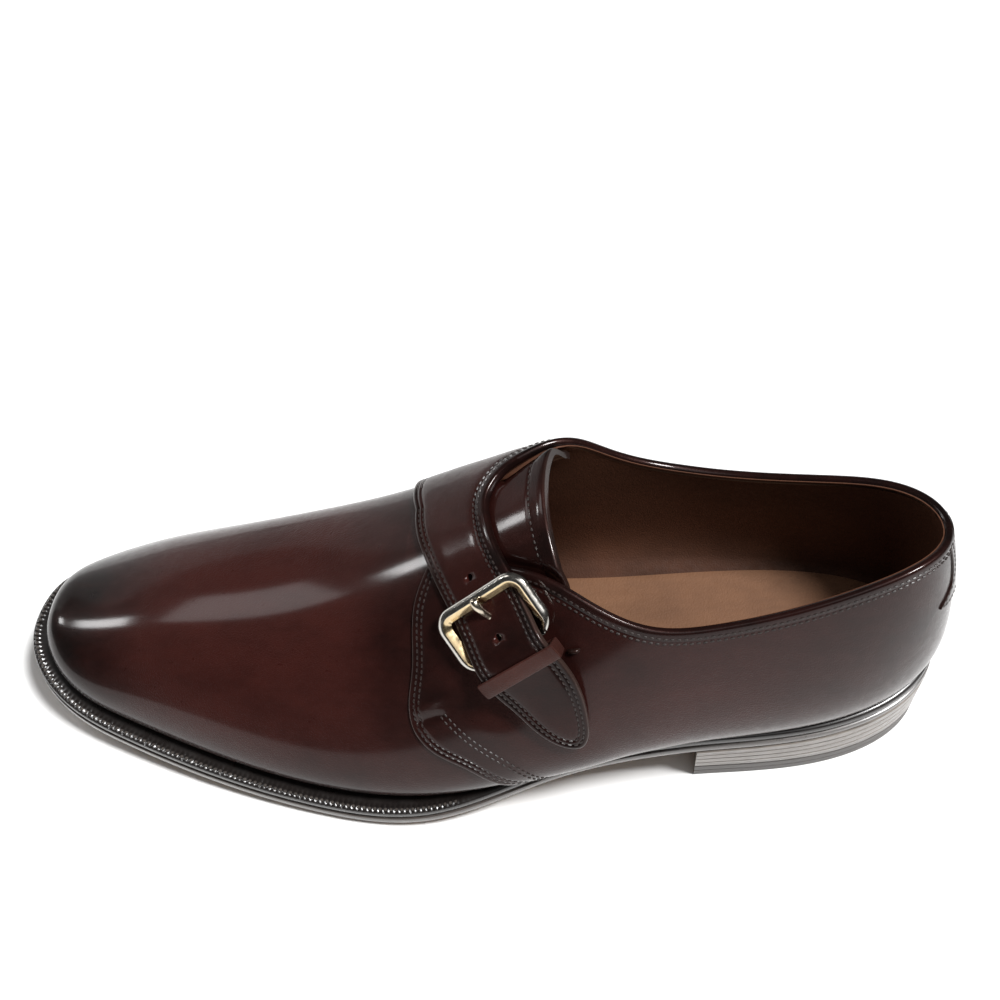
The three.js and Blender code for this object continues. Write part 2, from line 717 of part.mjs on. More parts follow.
function strapSheet() {
  const face = (top) => (u, v) => {
    const t = u * STRAP_END;
    const half = 2 * v - 1;
    const reach = half < 0 ? strap.toeward(t) : strap.heelward(t);
    const level = strap.lift(t) + (top ? strap.thickness(t) : 0);
    return strapPoint(t, half * reach * tipShare(t), level);
  };
  const skin = new Skin();
  skin.sheet(38, 6, face(true), face(false), (edge) => edge !== 'u1');
  return skin.geometry();
}

// The buckle's own frame: y from the upper bar to the pivot, x across, z outward.
const upperBarCentre = strapPoint(UPPER_BAR_AT, 0, UPPER_BAR_LEVEL);
const pivotCentre = strapPoint(PIVOT_AT, 0, PIVOT_LEVEL);
const buckleY = pivotCentre.clone().sub(upperBarCentre).normalize();
const buckleMiddle = (UPPER_BAR_AT + PIVOT_AT) / 2;
const acrossMiddle = strapPoint(buckleMiddle, 8, 0).sub(strapPoint(buckleMiddle, -8, 0));
const buckleX = acrossMiddle.addScaledVector(buckleY, -acrossMiddle.dot(buckleY)).normalize();
const buckleZ = new THREE.Vector3().crossVectors(buckleX, buckleY);
if (buckleZ.y > 0) buckleZ.negate();
const PIVOT_Y = upperBarCentre.distanceTo(pivotCentre);

function bucklePoint(x, y, z) {
  return upperBarCentre.clone()
    .addScaledVector(buckleX, x)
    .addScaledVector(buckleY, y)
    .addScaledVector(buckleZ, z);
}

/** Rounded rectangle through the bars' centres, with outward directions. */
function frameLoop() {
  const [halfX, radius, perCorner, perSide] = [SIDE_BAR_SPACING / 2, 4.0, 5, 4];
  const loop = [];
  const corners = [
    [halfX - radius, radius, -90], [halfX - radius, PIVOT_Y - radius, 0],
    [radius - halfX, PIVOT_Y - radius, 90], [radius - halfX, radius, 180],
  ];
  corners.forEach(([cx, cy, from], c) => {
    for (let i = 0; i <= perCorner; i += 1) {
      const angle = THREE.MathUtils.degToRad(from + 90 * i / perCorner);
      const out = [Math.cos(angle), Math.sin(angle)];
      loop.push({ x: cx + radius * out[0], y: cy + radius * out[1], out });
    }
    const here = loop[loop.length - 1];
    const [nx, ny, nextFrom] = corners[(c + 1) % 4];
    const nextAngle = THREE.MathUtils.degToRad(nextFrom);
    const next = [nx + radius * Math.cos(nextAngle), ny + radius * Math.sin(nextAngle)];
    for (let i = 1; i < perSide; i += 1) {
      const share = i / perSide;
      loop.push({ x: mix(here.x, next[0], share), y: mix(here.y, next[1], share), out: here.out });
    }
  });
  return loop;
}

/** Buckle frame: a bevelled bar round three sides, thinning into the round pivot bar. */
function buckleFrameGeometry() {
  const rings = frameLoop().map(({ x, y, out }) => {
    const slim = ease((y - PIVOT_Y + 5) / 4.5);
    const halfWidth = mix(BAR_WIDTH / 2, PIVOT_RADIUS, slim);
    const halfHeight = mix(BAR_THICKNESS / 2, PIVOT_RADIUS, slim);
    const ring = [];
    for (let k = 0; k < 10; k += 1) {
      const angle = 2 * Math.PI * (k + 0.5) / 10;
      const blunt = mix(0.75, 1, slim);
      const across = halfWidth * Math.sign(Math.cos(angle)) * Math.abs(Math.cos(angle)) ** blunt;
      const height = halfHeight * Math.sign(Math.sin(angle)) * Math.abs(Math.sin(angle)) ** blunt;
      ring.push(bucklePoint(x + out[0] * across, y + out[1] * across, height));
    }
    return ring;
  });
  const skin = new Skin();
  skin.tube(rings, true);
  return skin.geometry();
}

/** A loop round the pivot bar between two distances across. */
function pivotLoop(fromX, toX, outerRadius = LOOP_OUTER_RADIUS) {
  const rings = [];
  const count = 20;
  for (let i = 0; i < count; i += 1) {
    const angle = 2 * Math.PI * i / count;
    const at = (x, r) => bucklePoint(x, PIVOT_Y + r * Math.cos(angle), r * Math.sin(angle));
    rings.push([
      at(fromX, LOOP_INNER_RADIUS), at(toX, LOOP_INNER_RADIUS),
      at(toX, outerRadius), at(fromX, outerRadius),
    ]);
  }
  const skin = new Skin();
  skin.tube(rings, true);
  return skin.geometry();
}

// Side view of the prong from its loop, under and up through the strap, to the upper bar.
const PRONG_COLUMNS = ['y', 'z', 'radius'];
const PRONG = [
  [PIVOT_Y - 1.7, -0.6, 0.95], [PIVOT_Y - 4.5, -1.0, 1.0], [8.0, -1.0, 1.05],
  [5.5, 0.2, PRONG_RADIUS], [3.0, 2.2, PRONG_RADIUS], [1.4, 2.8, 1.1], [-0.4, 2.8, 1.05],
];

function prongRod(extra) {
  const steps = 16;
  const knots = PRONG.map((row, i) => i);
  const shape = tableSplines(PRONG_COLUMNS, PRONG, undefined, knots);
  const rings = [];
  for (let i = 0; i <= steps; i += 1) {
    const t = (PRONG.length - 1) * i / steps;
    const slopeY = shape.y(t + 0.01) - shape.y(t - 0.01);
    const slopeZ = shape.z(t + 0.01) - shape.z(t - 0.01);
    const length = Math.hypot(slopeY, slopeZ);
    const radius = shape.radius(t) + extra;
    const ring = [];
    for (let k = 0; k < 8; k += 1) {
      const angle = 2 * Math.PI * k / 8;
      const lift = radius * Math.sin(angle);
      const x = radius * Math.cos(angle);
      ring.push(bucklePoint(x, shape.y(t) - lift * slopeZ / length, shape.z(t) + lift * slopeY / length));
    }
    rings.push(ring);
  }
  const skin = new Skin();
  skin.tube(rings, false);
  return skin.geometry();
}

function prongGeometry() {
  const half = PRONG_LOOP_WIDTH / 2;
  return toGeometry(toSolid(pivotLoop(-half, half)).add(toSolid(prongRod(0))));
}

/** Leather tab folded round the pivot bar on both sides of the prong, sewn down below. */
function chapeGeometry() {
  const slot = PRONG_LOOP_WIDTH / 2 + GAP;
  const start = PIVOT_AT + 1.75;
  const face = (level) => (u, v) => {
    const t = start + u * CHAPE_LENGTH;
    return strapPoint(t, (v - 0.5) * CHAPE_WIDTH, level);
  };
  const skin = new Skin();
  skin.sheet(8, 4, face(CHAPE_LEVEL + CHAPE_THICKNESS), face(CHAPE_LEVEL), () => true);
  return toGeometry(
    toSolid(skin.geometry())
      .subtract(toSolid(pivotLoop(-slot, slot, LOOP_OUTER_RADIUS + GAP)))
      .add(toSolid(pivotLoop(slot, CHAPE_WIDTH / 2)))
      .add(toSolid(pivotLoop(-CHAPE_WIDTH / 2, -slot))),
  );
}

/** Keeper: a leather loop round strap and tab, its top following the strap. */
function keeperGeometry() {
  const inner = strap.toeward(KEEPER_AT) + GAP + 0.1;
  const outer = inner + KEEPER_THICKNESS;
  const rings = [];
  const perSide = 5;
  for (let i = 0; i < 4 * perSide; i += 1) {
    const corner = Math.floor(i / perSide);
    const share = (i % perSide) / perSide * 2 - 1;
    const square = [[share, -1], [1, share], [-share, 1], [-1, -share]][corner];
    const ring = [[-1, 0], [1, 0], [1, 1], [-1, 1]].map(([end, shell]) => {
      const t = KEEPER_AT + end * KEEPER_LENGTH / 2;
      const half = mix(inner, outer, shell);
      const low = KEEPER_LEVEL + KEEPER_THICKNESS * (1 - shell);
      const strapTop = strap.lift(t) + strap.thickness(t) + GAP + 0.1;
      const high = strapTop + KEEPER_THICKNESS * shell;
      return strapPoint(t, square[0] * half, mix(low, high, (square[1] + 1) / 2));
    });
    rings.push(ring);
  }
  const skin = new Skin();
  skin.tube(rings, true);
  return skin.geometry();
}

/** Round hole through the strap at a distance along it. */
function strapHole(t) {
  const hole = new THREE.CylinderGeometry(HOLE_RADIUS, HOLE_RADIUS, 8, 16);
  hole.deleteAttribute('normal');
  hole.deleteAttribute('uv');
  const centre = strapPoint(t, 0, strap.lift(t) + strap.thickness(t) / 2);
  const { normal } = lastFrame(...strapPlace(t, 0));
  const turn = new THREE.Quaternion().setFromUnitVectors(new THREE.Vector3(0, 1, 0), normal);
  hole.applyQuaternion(turn);
  hole.translate(centre.x, centre.y, centre.z);
  return toSolid(mergeVertices(hole, 1e-4));
}

function strapGeometry() {
  let solid = toSolid(strapSheet()).subtract(toSolid(prongRod(2 * GAP)));
  for (const from of HOLES_FROM_UPPER_BAR) solid = solid.subtract(strapHole(UPPER_BAR_AT + from));
  return toGeometry(solid);
}

// ---------------------------------------------------------------------------- the shoe

const shoe = new THREE.Group();
shoe.name = 'monk_strap_shoe';
shoe.position.set(TOE_TIP_X, AXIS_Y, 0);

function addPiece(name, geometry, finish) {
  const mesh = new THREE.Mesh(geometry, new THREE.MeshStandardMaterial(finish));
  mesh.name = name;
  shoe.add(mesh);
}

const stackTop = (x) => outsoleBottom(x, 1) - GAP;
const topPieceTop = () => TOP_PIECE_THICKNESS;
const stackBottom = () => TOP_PIECE_THICKNESS + GAP;
const floorHeight = () => 0;
const stackTaper = HEEL_TAPER * STACK_TAPER_SHARE;

addPiece('upper', upperGeometry(), LEATHER);
addPiece('tongue', tongueGeometry(), LEATHER);
addPiece('insole', insoleGeometry(), LINING);
addPiece('welt', weltGeometry(), SOLE_LEATHER);
addPiece('outsole', plateGeometry(ringMargin, outsoleTop, outsoleBottom, 3), SOLE_LEATHER);
addPiece('heel_stack', heelGeometry(stackTop, stackBottom, 0, stackTaper), SOLE_LEATHER);
addPiece('heel_top_piece', heelGeometry(topPieceTop, floorHeight, stackTaper, HEEL_TAPER), RUBBER);
addPiece('strap', strapGeometry(), LEATHER);
addPiece('buckle_frame', buckleFrameGeometry(), NICKEL);
addPiece('buckle_prong', prongGeometry(), NICKEL);
addPiece('buckle_chape', chapeGeometry(), LEATHER);
addPiece('keeper', keeperGeometry(), LEATHER);

export default shoe;
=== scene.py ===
"""Monk strap shoe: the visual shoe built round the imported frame, as an add-on run as a script."""

import math

import bpy
import numpy as np
from mathutils import Matrix


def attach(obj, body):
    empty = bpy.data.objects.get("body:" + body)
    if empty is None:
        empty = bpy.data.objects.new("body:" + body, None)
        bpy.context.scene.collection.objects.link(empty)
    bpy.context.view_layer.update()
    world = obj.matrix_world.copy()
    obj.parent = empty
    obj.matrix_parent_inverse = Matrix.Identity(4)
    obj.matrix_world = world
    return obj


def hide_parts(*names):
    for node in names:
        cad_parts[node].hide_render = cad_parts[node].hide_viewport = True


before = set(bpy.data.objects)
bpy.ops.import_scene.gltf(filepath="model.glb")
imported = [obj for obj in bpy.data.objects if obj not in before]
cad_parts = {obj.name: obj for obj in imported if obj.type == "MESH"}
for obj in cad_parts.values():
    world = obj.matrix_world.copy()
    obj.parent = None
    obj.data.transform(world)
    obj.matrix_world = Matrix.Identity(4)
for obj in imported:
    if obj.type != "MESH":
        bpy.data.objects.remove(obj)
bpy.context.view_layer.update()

bl_info = {
    "name": "Monk strap shoe",
    "version": (1, 0, 0),
    "blender": (4, 5, 0),
    "location": "View3D > Sidebar > Shoe",
    "description": "Builds a burnished leather monk strap shoe piece by piece",
    "category": "Add Mesh",
}

# ------------------------------------------------------------------ sizes, in millimetres
# Lengths run back from the toe tip of the upper; y is negative on the outer (lateral) side.

MM = 0.001
TOE_TIP = np.array([-139.98, 4.85, 0.0])

TOE_EASE = 50.0
FAN_START_X = 208.0
FAN_LENGTH = 72.0
EASED = TOE_EASE * 2 / math.pi
FAN_STATION = TOE_EASE + FAN_START_X - EASED
LAST_STATION = FAN_STATION + FAN_LENGTH

SECTION_COLUMNS = [
    "station", "featherLat", "featherMed", "bulgeLat", "bulgeMed",
    "bulgeHeight", "rise", "ridge", "fullLat", "fullMed",
]
SECTIONS = [
    [0, 0, 0, 0, 0, 0, 0, 0, 0.86, 0.86],
    [12, 9.5, 12.5, 0.7, 0.8, 4.0, 11.0, 0.4, 0.86, 0.86],
    [28, 20.5, 23.2, 1.9, 1.5, 6.8, 18.5, 0.8, 0.84, 0.84],
    [50, 30.5, 32.3, 2.2, 1.9, 8.5, 27.5, 1.2, 0.81, 0.81],
    [80, 40.5, 39.5, 2.9, 2.4, 9.7, 37.5, 2.6, 0.78, 0.77],
    [115, 48.2, 42.3, 4.4, 3.3, 10.4, 48.2, 6.4, 0.70, 0.76],
    [150, 50.6, 34.0, 5.0, 5.3, 12.0, 62.8, 10.3, 0.62, 0.77],
    [185, 45.3, 25.2, 7.2, 9.0, 14.3, 76.3, 10.8, 0.59, 0.82],
    [FAN_STATION, 36.8, 24.8, 6.6, 9.3, 17.0, 85.5, 7.2, 0.62, 0.82],
    [FAN_STATION + 36, 31.8, 26.9, 4.3, 4.8, 18.4, 87.5, 1.6, 0.68, 0.73],
    [LAST_STATION, 28.7, 28.7, 4.4, 4.4, 20.0, 88.5, 0, 0.81, 0.81],
]
FREE_AT_TOE = SECTION_COLUMNS[1:7]

SEAT = np.array([
    [-6, 20.6], [0, 18.5], [11.5, 14.9], [32, 12.1], [62, 9.9], [97, 8.2],
    [132, 10.2], [167, 18.3], [208, 24.0], [253, 26.8], [283, 29.0], [290, 29.4],
])
# station, lateral, medial
MARGINS = np.array([
    [0, 5.9, 5.9], [50, 6.1, 5.8], [115, 7.1, 5.4], [150, 6.4, 3.4],
    [185, 1.2, -1.0], [226, 1.2, 0.0], [266, 2.2, 2.4], [LAST_STATION, 2.6, 2.6],
])
# station, girth, toeward, heelward, lift, thickness
STRAP = np.array([
    [169.0, 0.270, 24.0, 22.0, 0.45, 0.9],
    [165.0, 0.150, 19.0, 18.0, 0.45, 1.4],
    [160.2, 0.060, 16.5, 14.0, 0.45, 2.0],
    [157.5, 0.000, 14.4, 12.4, 0.45, 2.2],
    [159.0, -0.070, 12.4, 11.2, 0.5, 2.1],
    [162.5, -0.140, 11.2, 11.0, 0.9, 2.0],
    [167.9, -0.220, 11.2, 11.3, 1.4, 2.0],
    [173.4, -0.300, 11.5, 11.5, 3.6, 2.0],
    [177.8, -0.360, 11.5, 11.5, 6.1, 2.0],
    [181.0, -0.403, 11.5, 11.5, 4.8, 2.0],
    [184.8, -0.455, 11.5, 11.5, 3.2, 2.0],
    [189.6, -0.540, 11.5, 11.5, 2.0, 2.0],
    [196.1, -0.660, 11.5, 11.5, 1.4, 2.0],
])
STRAP_BASE_ROW = 3
UPPER_BAR_ROW = 6
TIP_TAPER_LENGTH = 31.0
TIP_SHAPE = 1.8
HOLE_RADIUS = 1.1
HOLES_FROM_UPPER_BAR = [-6.5, 11.5]

# Front edges of the quarters: station and height share, from the welt up to the strap.
LATERAL_FRONT = [
    (183, 0), (171.7, 0.18), (163.1, 0.32), (152.5, 0.42), (146.2, 0.51), (144.8, 0.57),
    (145.9, 0.68), (146.2, 0.82), (148.5, 0.87), (151, 0.905),
]
MEDIAL_FRONT = [
    (183, 0), (164.8, 0.22), (156.7, 0.32), (151.9, 0.38), (147.3, 0.45), (145.1, 0.51),
    (144.1, 0.59), (143.8, 0.70), (143.4, 0.82), (143.2, 0.93),
]
LATERAL_SECOND_ROW = [(155.5, 0.545), (163.5, 0.45), (170.2, 0.38), (177.2, 0.29), (187, 0.08)]
MEDIAL_SECOND_ROW = [(156, 0.49), (165.4, 0.35), (171.1, 0.29), (178, 0.23), (189, 0.08)]
# Collar edges: station and girth, from under the strap to the back of the heel.
LATERAL_TOPLINE = [
    (158, -0.10), (164, -0.135), (174, -0.175), (185, -0.222), (200, -0.312),
    (216, -0.385), (236, -0.401), (258, -0.368), (280, -0.349), (LAST_STATION, -0.371),
]
MEDIAL_TOPLINE = [
    (171.3, 0.03), (176, 0.052), (182.5, 0.095), (191.5, 0.185), (200, 0.275),
    (216, 0.378), (236, 0.422), (258, 0.402), (280, 0.369), (LAST_STATION, 0.371),
]
TONGUE_FRONT = 150.0
TONGUE_TOP = np.array([
    [-0.33, 193], [-0.22, 189.3], [-0.11, 185.3], [0, 183.8], [0.1, 186], [0.2, 190],
])
# Back strip: height share and half width.
BACK_STRIP = np.array([
    [0.629, 6.2], [0.595, 6.2], [0.56, 6.4], [0.52, 7.4], [0.495, 9.8], [0.473, 14.6],
    [0.462, 13.8], [0.452, 9.2], [0.444, 4.6], [0.436, 0.4],
])

UPPER_WALL = 2.0
LEATHER_THICKNESS = 1.1
OVERLAY = 1.0
OVERLAY_THINNED = 0.3
THINNING_FROM = 14.0
THINNING_OVER = 16.0
STRAP_ROOT_REACH = 30.0
TONGUE_DIP = 2.9
TONGUE_DIP_OVER = 5.0
TUCK = 2.4
TUCK_HEIGHT = 3.6
EDGE_RADIUS = 0.5
STITCH_ROWS = (1.7, 3.2)
RIM_STITCH_ROWS = (2.2, 4.0)
TONGUE_STITCH_ROW = 4.6
STITCH_LENGTH = 1.3
STITCH_HEIGHT = 0.5
# Depths of the mesh columns behind a cut edge.
EDGE_COLUMNS = [
    0, 0.12, 0.3, 0.55, 0.9, 1.25, 1.5, 1.7, 1.9, 2.2, 2.6, 3.0, 3.2, 3.4, 3.8, 4.4, 5.4, 7.0,
]

BAR_SPACING = 16.5
SIDE_BAR_SPACING = 28.2
PIVOT_RADIUS = 1.05
PIVOT_LEVEL = 3.2
UPPER_BAR_LEVEL = 5.9
CHAPE_WIDTH = 12.0
CHAPE_LENGTH = 10.0
CHAPE_LEVEL = 1.2
KEEPER_LENGTH = 4.6
KEEPER_THICKNESS = 1.1
KEEPER_LEVEL = 2.5
KEEPER_FROM_PIVOT = 5.2

WELT_THICKNESS = 2.6
WELT_GAP = 0.45
OUTSOLE_THICKNESS = 3.2
TREAD_CROWN = 1.9
TOP_PIECE_THICKNESS = 6.0
HEEL_TAPER = 1.6
HEEL_BREAST_X = 212.0
SPINE_START = 14.0


# ------------------------------------------------------------------ curves and the last


def spline(xs, ys, start="free", end="free"):
    """Cubic spline through knots: each stretch is a cubic with matching slope and bend.
    A flat end has no slope, and a free end has no bend."""
    xs, ys = np.asarray(xs, float), np.asarray(ys, float)
    n, h = len(xs), np.diff(xs)
    slope = np.diff(ys) / h
    matrix, right = np.eye(n), np.zeros(n)
    i = np.arange(1, n - 1)
    matrix[i, i - 1], matrix[i, i], matrix[i, i + 1] = h[:-1], 2 * (h[:-1] + h[1:]), h[1:]
    right[i] = 6 * np.diff(slope)
    if start == "flat":
        matrix[0, :2], right[0] = (2 * h[0], h[0]), 6 * slope[0]
    if end == "flat":
        matrix[-1, -2:], right[-1] = (h[-1], 2 * h[-1]), -6 * slope[-1]
    bend = np.linalg.solve(matrix, right)

    def at(x):
        x = np.asarray(x, float)
        k = np.minimum(np.searchsorted(xs[1:], x), n - 2)
        a, b = (xs[k + 1] - x) / h[k], (x - xs[k]) / h[k]
        curve = (a**3 - a) * bend[k] + (b**3 - b) * bend[k + 1]
        return a * ys[k] + b * ys[k + 1] + curve * h[k] ** 2 / 6

    return at


def mix(a, b, t):
    """Straight blend from a to b."""
    return a + (b - a) * t


def ease(t):
    """Smooth step from 0 to 1: three squares less two cubes."""
    t = np.clip(t, 0, 1)
    return t * t * (3 - 2 * t)


def bump(distance, width):
    """Bell of height 1 that falls to nothing over a few widths."""
    return np.exp(-((distance / width) ** 2))


def unit(v):
    """Vectors over their own lengths."""
    return v / np.maximum(np.linalg.norm(v, axis=-1, keepdims=True), 1e-12)


def dot(a, b):
    """Sum of products over the last axis."""
    return np.sum(a * b, axis=-1)


SECTION = {
    name: spline(
        [row[0] for row in SECTIONS], [row[i] for row in SECTIONS],
        "free" if name in FREE_AT_TOE else "flat", "flat",
    )
    for i, name in enumerate(SECTION_COLUMNS)
}
seat_height = spline(SEAT[:, 0], SEAT[:, 1])
MARGIN = {-1: spline(MARGINS[:, 0], MARGINS[:, 1]), 1: spline(MARGINS[:, 0], MARGINS[:, 2])}


def section_plane(s):
    """Where a section stands on the long axis, and how far it has swung round the heel."""
    s = np.asarray(s, float)
    swing = np.clip((s - FAN_STATION) / FAN_LENGTH, 0, 1) * math.pi / 2
    toe = EASED * (1 - np.cos(np.minimum(s, TOE_EASE) / EASED))
    straight = np.where(s < TOE_EASE, toe, EASED + s - TOE_EASE)
    fan = FAN_START_X + FAN_LENGTH * np.sin(swing) * 2 / math.pi
    return np.where(s > FAN_STATION, fan, straight), (1 - np.cos(swing)) * math.pi / 2


def control_weights(v):
    """Weights of the six control points of a clamped cubic B-spline at v from 0 to 1."""
    knots = np.array([0, 0, 0, 0, 1 / 3, 2 / 3, 1, 1, 1, 1])
    at = np.clip(np.asarray(v, float), 0, 1 - 1e-12)[..., None]
    weights = ((at >= knots[:-1]) & (at < knots[1:])).astype(float)
    for degree in (1, 2, 3):
        k = 9 - degree
        rising = knots[degree:degree + k] - knots[:k]
        falling = knots[degree + 1:degree + 1 + k] - knots[1:k + 1]
        left = (at - knots[:k]) / np.where(rising > 0, rising, np.inf)
        right = (knots[degree + 1:degree + 1 + k] - at) / np.where(falling > 0, falling, np.inf)
        weights = left * weights[..., :k] + right * weights[..., 1:k + 1]
    return weights


def by_side(side, lateral, medial, s):
    """Section measure of the side asked for."""
    return np.where(side < 0, SECTION[lateral](s), SECTION[medial](s))


def last_point(s, girth):
    """Outer face of the upper: a B-spline section from the feather edge over the bulge to
    the ridge, set on the seat height and swung round the heel."""
    s, girth = np.broadcast_arrays(np.asarray(s, float), np.asarray(girth, float))
    side = np.where(girth < 0, -1.0, 1.0)
    x, angle = section_plane(s)
    feather = by_side(side, "featherLat", "featherMed", s)
    bulge = by_side(side, "bulgeLat", "bulgeMed", s)
    widest = feather + bulge
    rise, height = SECTION["rise"](s), SECTION["bulgeHeight"](s)
    ridge = SECTION["ridge"](s) * side
    mean_width = sum(SECTION[name](s) for name in SECTION_COLUMNS[1:5]) / 2
    full = by_side(side, "fullLat", "fullMed", s) * widest
    outward = np.stack(
        [feather, feather + 0.75 * bulge, widest, full, ridge + 0.42 * mean_width, ridge], -1
    )
    upward = np.stack([0 * s, 0.3 * height, height, 0.7 * rise, rise, rise], -1)
    weights = control_weights(1 - np.abs(girth))
    out, up = dot(weights, outward), dot(weights, upward)
    floor = seat_height(x + feather * np.sin(angle))
    return np.stack([x + out * np.sin(angle), side * out * np.cos(angle), floor + up], -1)


def last_frame(s, girth):
    """Surface point, its two tangents and its outward normal, their cross product."""
    s, girth = np.broadcast_arrays(np.asarray(s, float), np.asarray(girth, float))
    station = np.clip(s, 0.6, LAST_STATION - 0.01)
    step, turn = 0.01, 0.0005
    inside = np.clip(girth, -1 + turn, 1 - turn)
    along_s = (last_point(station + step, girth) - last_point(station - step, girth)) / (2 * step)
    along_g = (last_point(station, inside + turn) - last_point(station, inside - turn)) / (2 * turn)
    normal = np.cross(along_s, along_g)
    normal[..., 1] = np.where(s >= LAST_STATION, 0, normal[..., 1])
    normal = np.where((s <= 0)[..., None], [-1.0, 0.0, 0.0], normal)
    return last_point(s, girth), along_s, along_g, unit(normal)


def feather_point(s, side):
    """Plan point of the feather edge, where upper and welt meet."""
    x, angle = section_plane(s)
    width = by_side(side, "featherLat", "featherMed", s)
    return np.stack([x + width * np.sin(angle), side * width * np.cos(angle)], -1)


def feather_outward(s, side):
    """Outward plan direction of the feather edge: its tangent turned a quarter."""
    s, side = np.broadcast_arrays(np.asarray(s, float), np.asarray(side, float))
    behind = feather_point(np.maximum(s - 0.05, 0), side)
    ahead = feather_point(np.minimum(s + 0.05, LAST_STATION), side)
    along = unit(ahead - behind)
    out = np.stack([-side * along[..., 1], side * along[..., 0]], -1)
    out = np.where((s <= 0)[..., None], [-1.0, 0.0], out)
    return np.where((s >= LAST_STATION)[..., None], [1.0, 0.0], out)


def on_upper(s, girth, level):
    """Point at a height above the upper's face. Close to the welt the leather turns in
    under itself, so the crease above the welt is deep."""
    point, _, _, normal = last_frame(s, girth)
    side = np.where(np.asarray(girth) < 0, -1.0, 1.0)
    x, angle = section_plane(s)
    feather = by_side(side, "featherLat", "featherMed", s)
    above = point[..., 2] - seat_height(x + feather * np.sin(angle))
    turned = 1 - ease(above / TUCK_HEIGHT)
    out = feather_outward(s, side) * (TUCK * turned)[..., None]
    moved = point + normal * np.asarray(level, float)[..., None]
    moved[..., :2] -= out
    moved[..., 2] -= 0.4 * turned
    return moved


def walk(s, girth, heading, distance):
    """Places a distance away over the face, going straight ahead in short steps."""
    steps = max(1, math.ceil(float(np.max(np.abs(distance))) / 2.0))
    for _ in range(steps):
        _, along_s, along_g, normal = last_frame(s, girth)
        heading = unit(heading - normal * dot(heading, normal)[..., None])
        ss, gg, sg = dot(along_s, along_s), dot(along_g, along_g), dot(along_s, along_g)
        hs, hg = dot(heading, along_s), dot(heading, along_g)
        scale = distance / steps / np.maximum(ss * gg - sg * sg, 1e-9)
        s = s + scale * (hs * gg - hg * sg)
        girth = girth + scale * (hg * ss - hs * sg)
    return s, girth


def lengths(points):
    """Distance run along a row of points."""
    return np.concatenate([[0], np.cumsum(np.linalg.norm(np.diff(points, axis=0), axis=-1))])


def path(knots, count=160):
    """Evenly spaced places on a spline through (station, girth) knots."""
    knots = np.asarray(knots, float)
    along = lengths(last_point(knots[:, 0], knots[:, 1]))
    fine = np.linspace(0, along[-1], 6 * count)
    s = np.clip(spline(along, knots[:, 0])(fine), 0, LAST_STATION)
    girth = np.clip(spline(along, knots[:, 1])(fine), -1, 1)
    run = lengths(last_point(s, girth))
    even = np.linspace(0, run[-1], count)
    return np.interp(even, run, s), np.interp(even, run, girth)


def front_path(rows, side, count=160):
    """Path from rows of station and height share on one side."""
    return path([(s, side * (1 - v)) for s, v in rows], count)


def offset(s, girth, distance, turn):
    """Path a distance to one side of another over the face."""
    point, _, _, normal = last_frame(s, girth)
    heading = turn * np.cross(normal, unit(np.gradient(point, axis=0)))
    s, girth = walk(s, girth, heading, distance)
    low, high = (-1, -1e-6) if np.mean(girth) < 0 else (1e-6, 1)
    return np.clip(s, 0, LAST_STATION), np.clip(girth, low, high)


def distance_to(points, line):
    """Distance from each point to the nearest point of a line."""
    flat = points.reshape(-1, 3)
    gaps = np.linalg.norm(flat[:, None, :] - line[None, :, :], axis=-1)
    return gaps.min(axis=1).reshape(points.shape[:-1])


STRAP_ALONG = lengths(last_point(STRAP[:, 0], STRAP[:, 1]))
STRAP_AT = [spline(STRAP_ALONG, STRAP[:, i]) for i in range(6)]
STRAP_END = STRAP_ALONG[-1]
STRAP_BASE = STRAP_ALONG[STRAP_BASE_ROW]
UPPER_BAR_AT = STRAP_ALONG[UPPER_BAR_ROW]
PIVOT_AT = UPPER_BAR_AT + BAR_SPACING
KEEPER_AT = PIVOT_AT + KEEPER_FROM_PIVOT
strap_station, strap_girth, strap_toeward, strap_heelward, strap_lift, strap_thick = STRAP_AT


def strap_place(t, across):
    """Place at a distance along the strap's middle line and across it, heelward positive."""
    t, across = np.broadcast_arrays(np.asarray(t, float), np.asarray(across, float))
    shape = t.shape
    t, across = t.ravel(), across.ravel()
    s, girth = strap_station(t), strap_girth(t)
    normal = last_frame(s, girth)[3]
    after, before = (
        last_point(strap_station(t + step), strap_girth(t + step)) for step in (0.2, -0.2)
    )
    heading = unit(np.cross(after - before, normal))
    heading = np.where(heading[:, :1] < 0, -heading, heading)
    s, girth = walk(s, girth, heading, across)
    return s.reshape(shape), girth.reshape(shape)


def strap_point(t, across, level):
    """Point above the upper's face at a place on the strap."""
    t, across, level = np.broadcast_arrays(*(np.asarray(a, float) for a in (t, across, level)))
    s, girth = strap_place(t, across)
    point, _, _, normal = last_frame(s, girth)
    return point + normal * level[..., None]


# ------------------------------------------------------------------ meshes from arrays


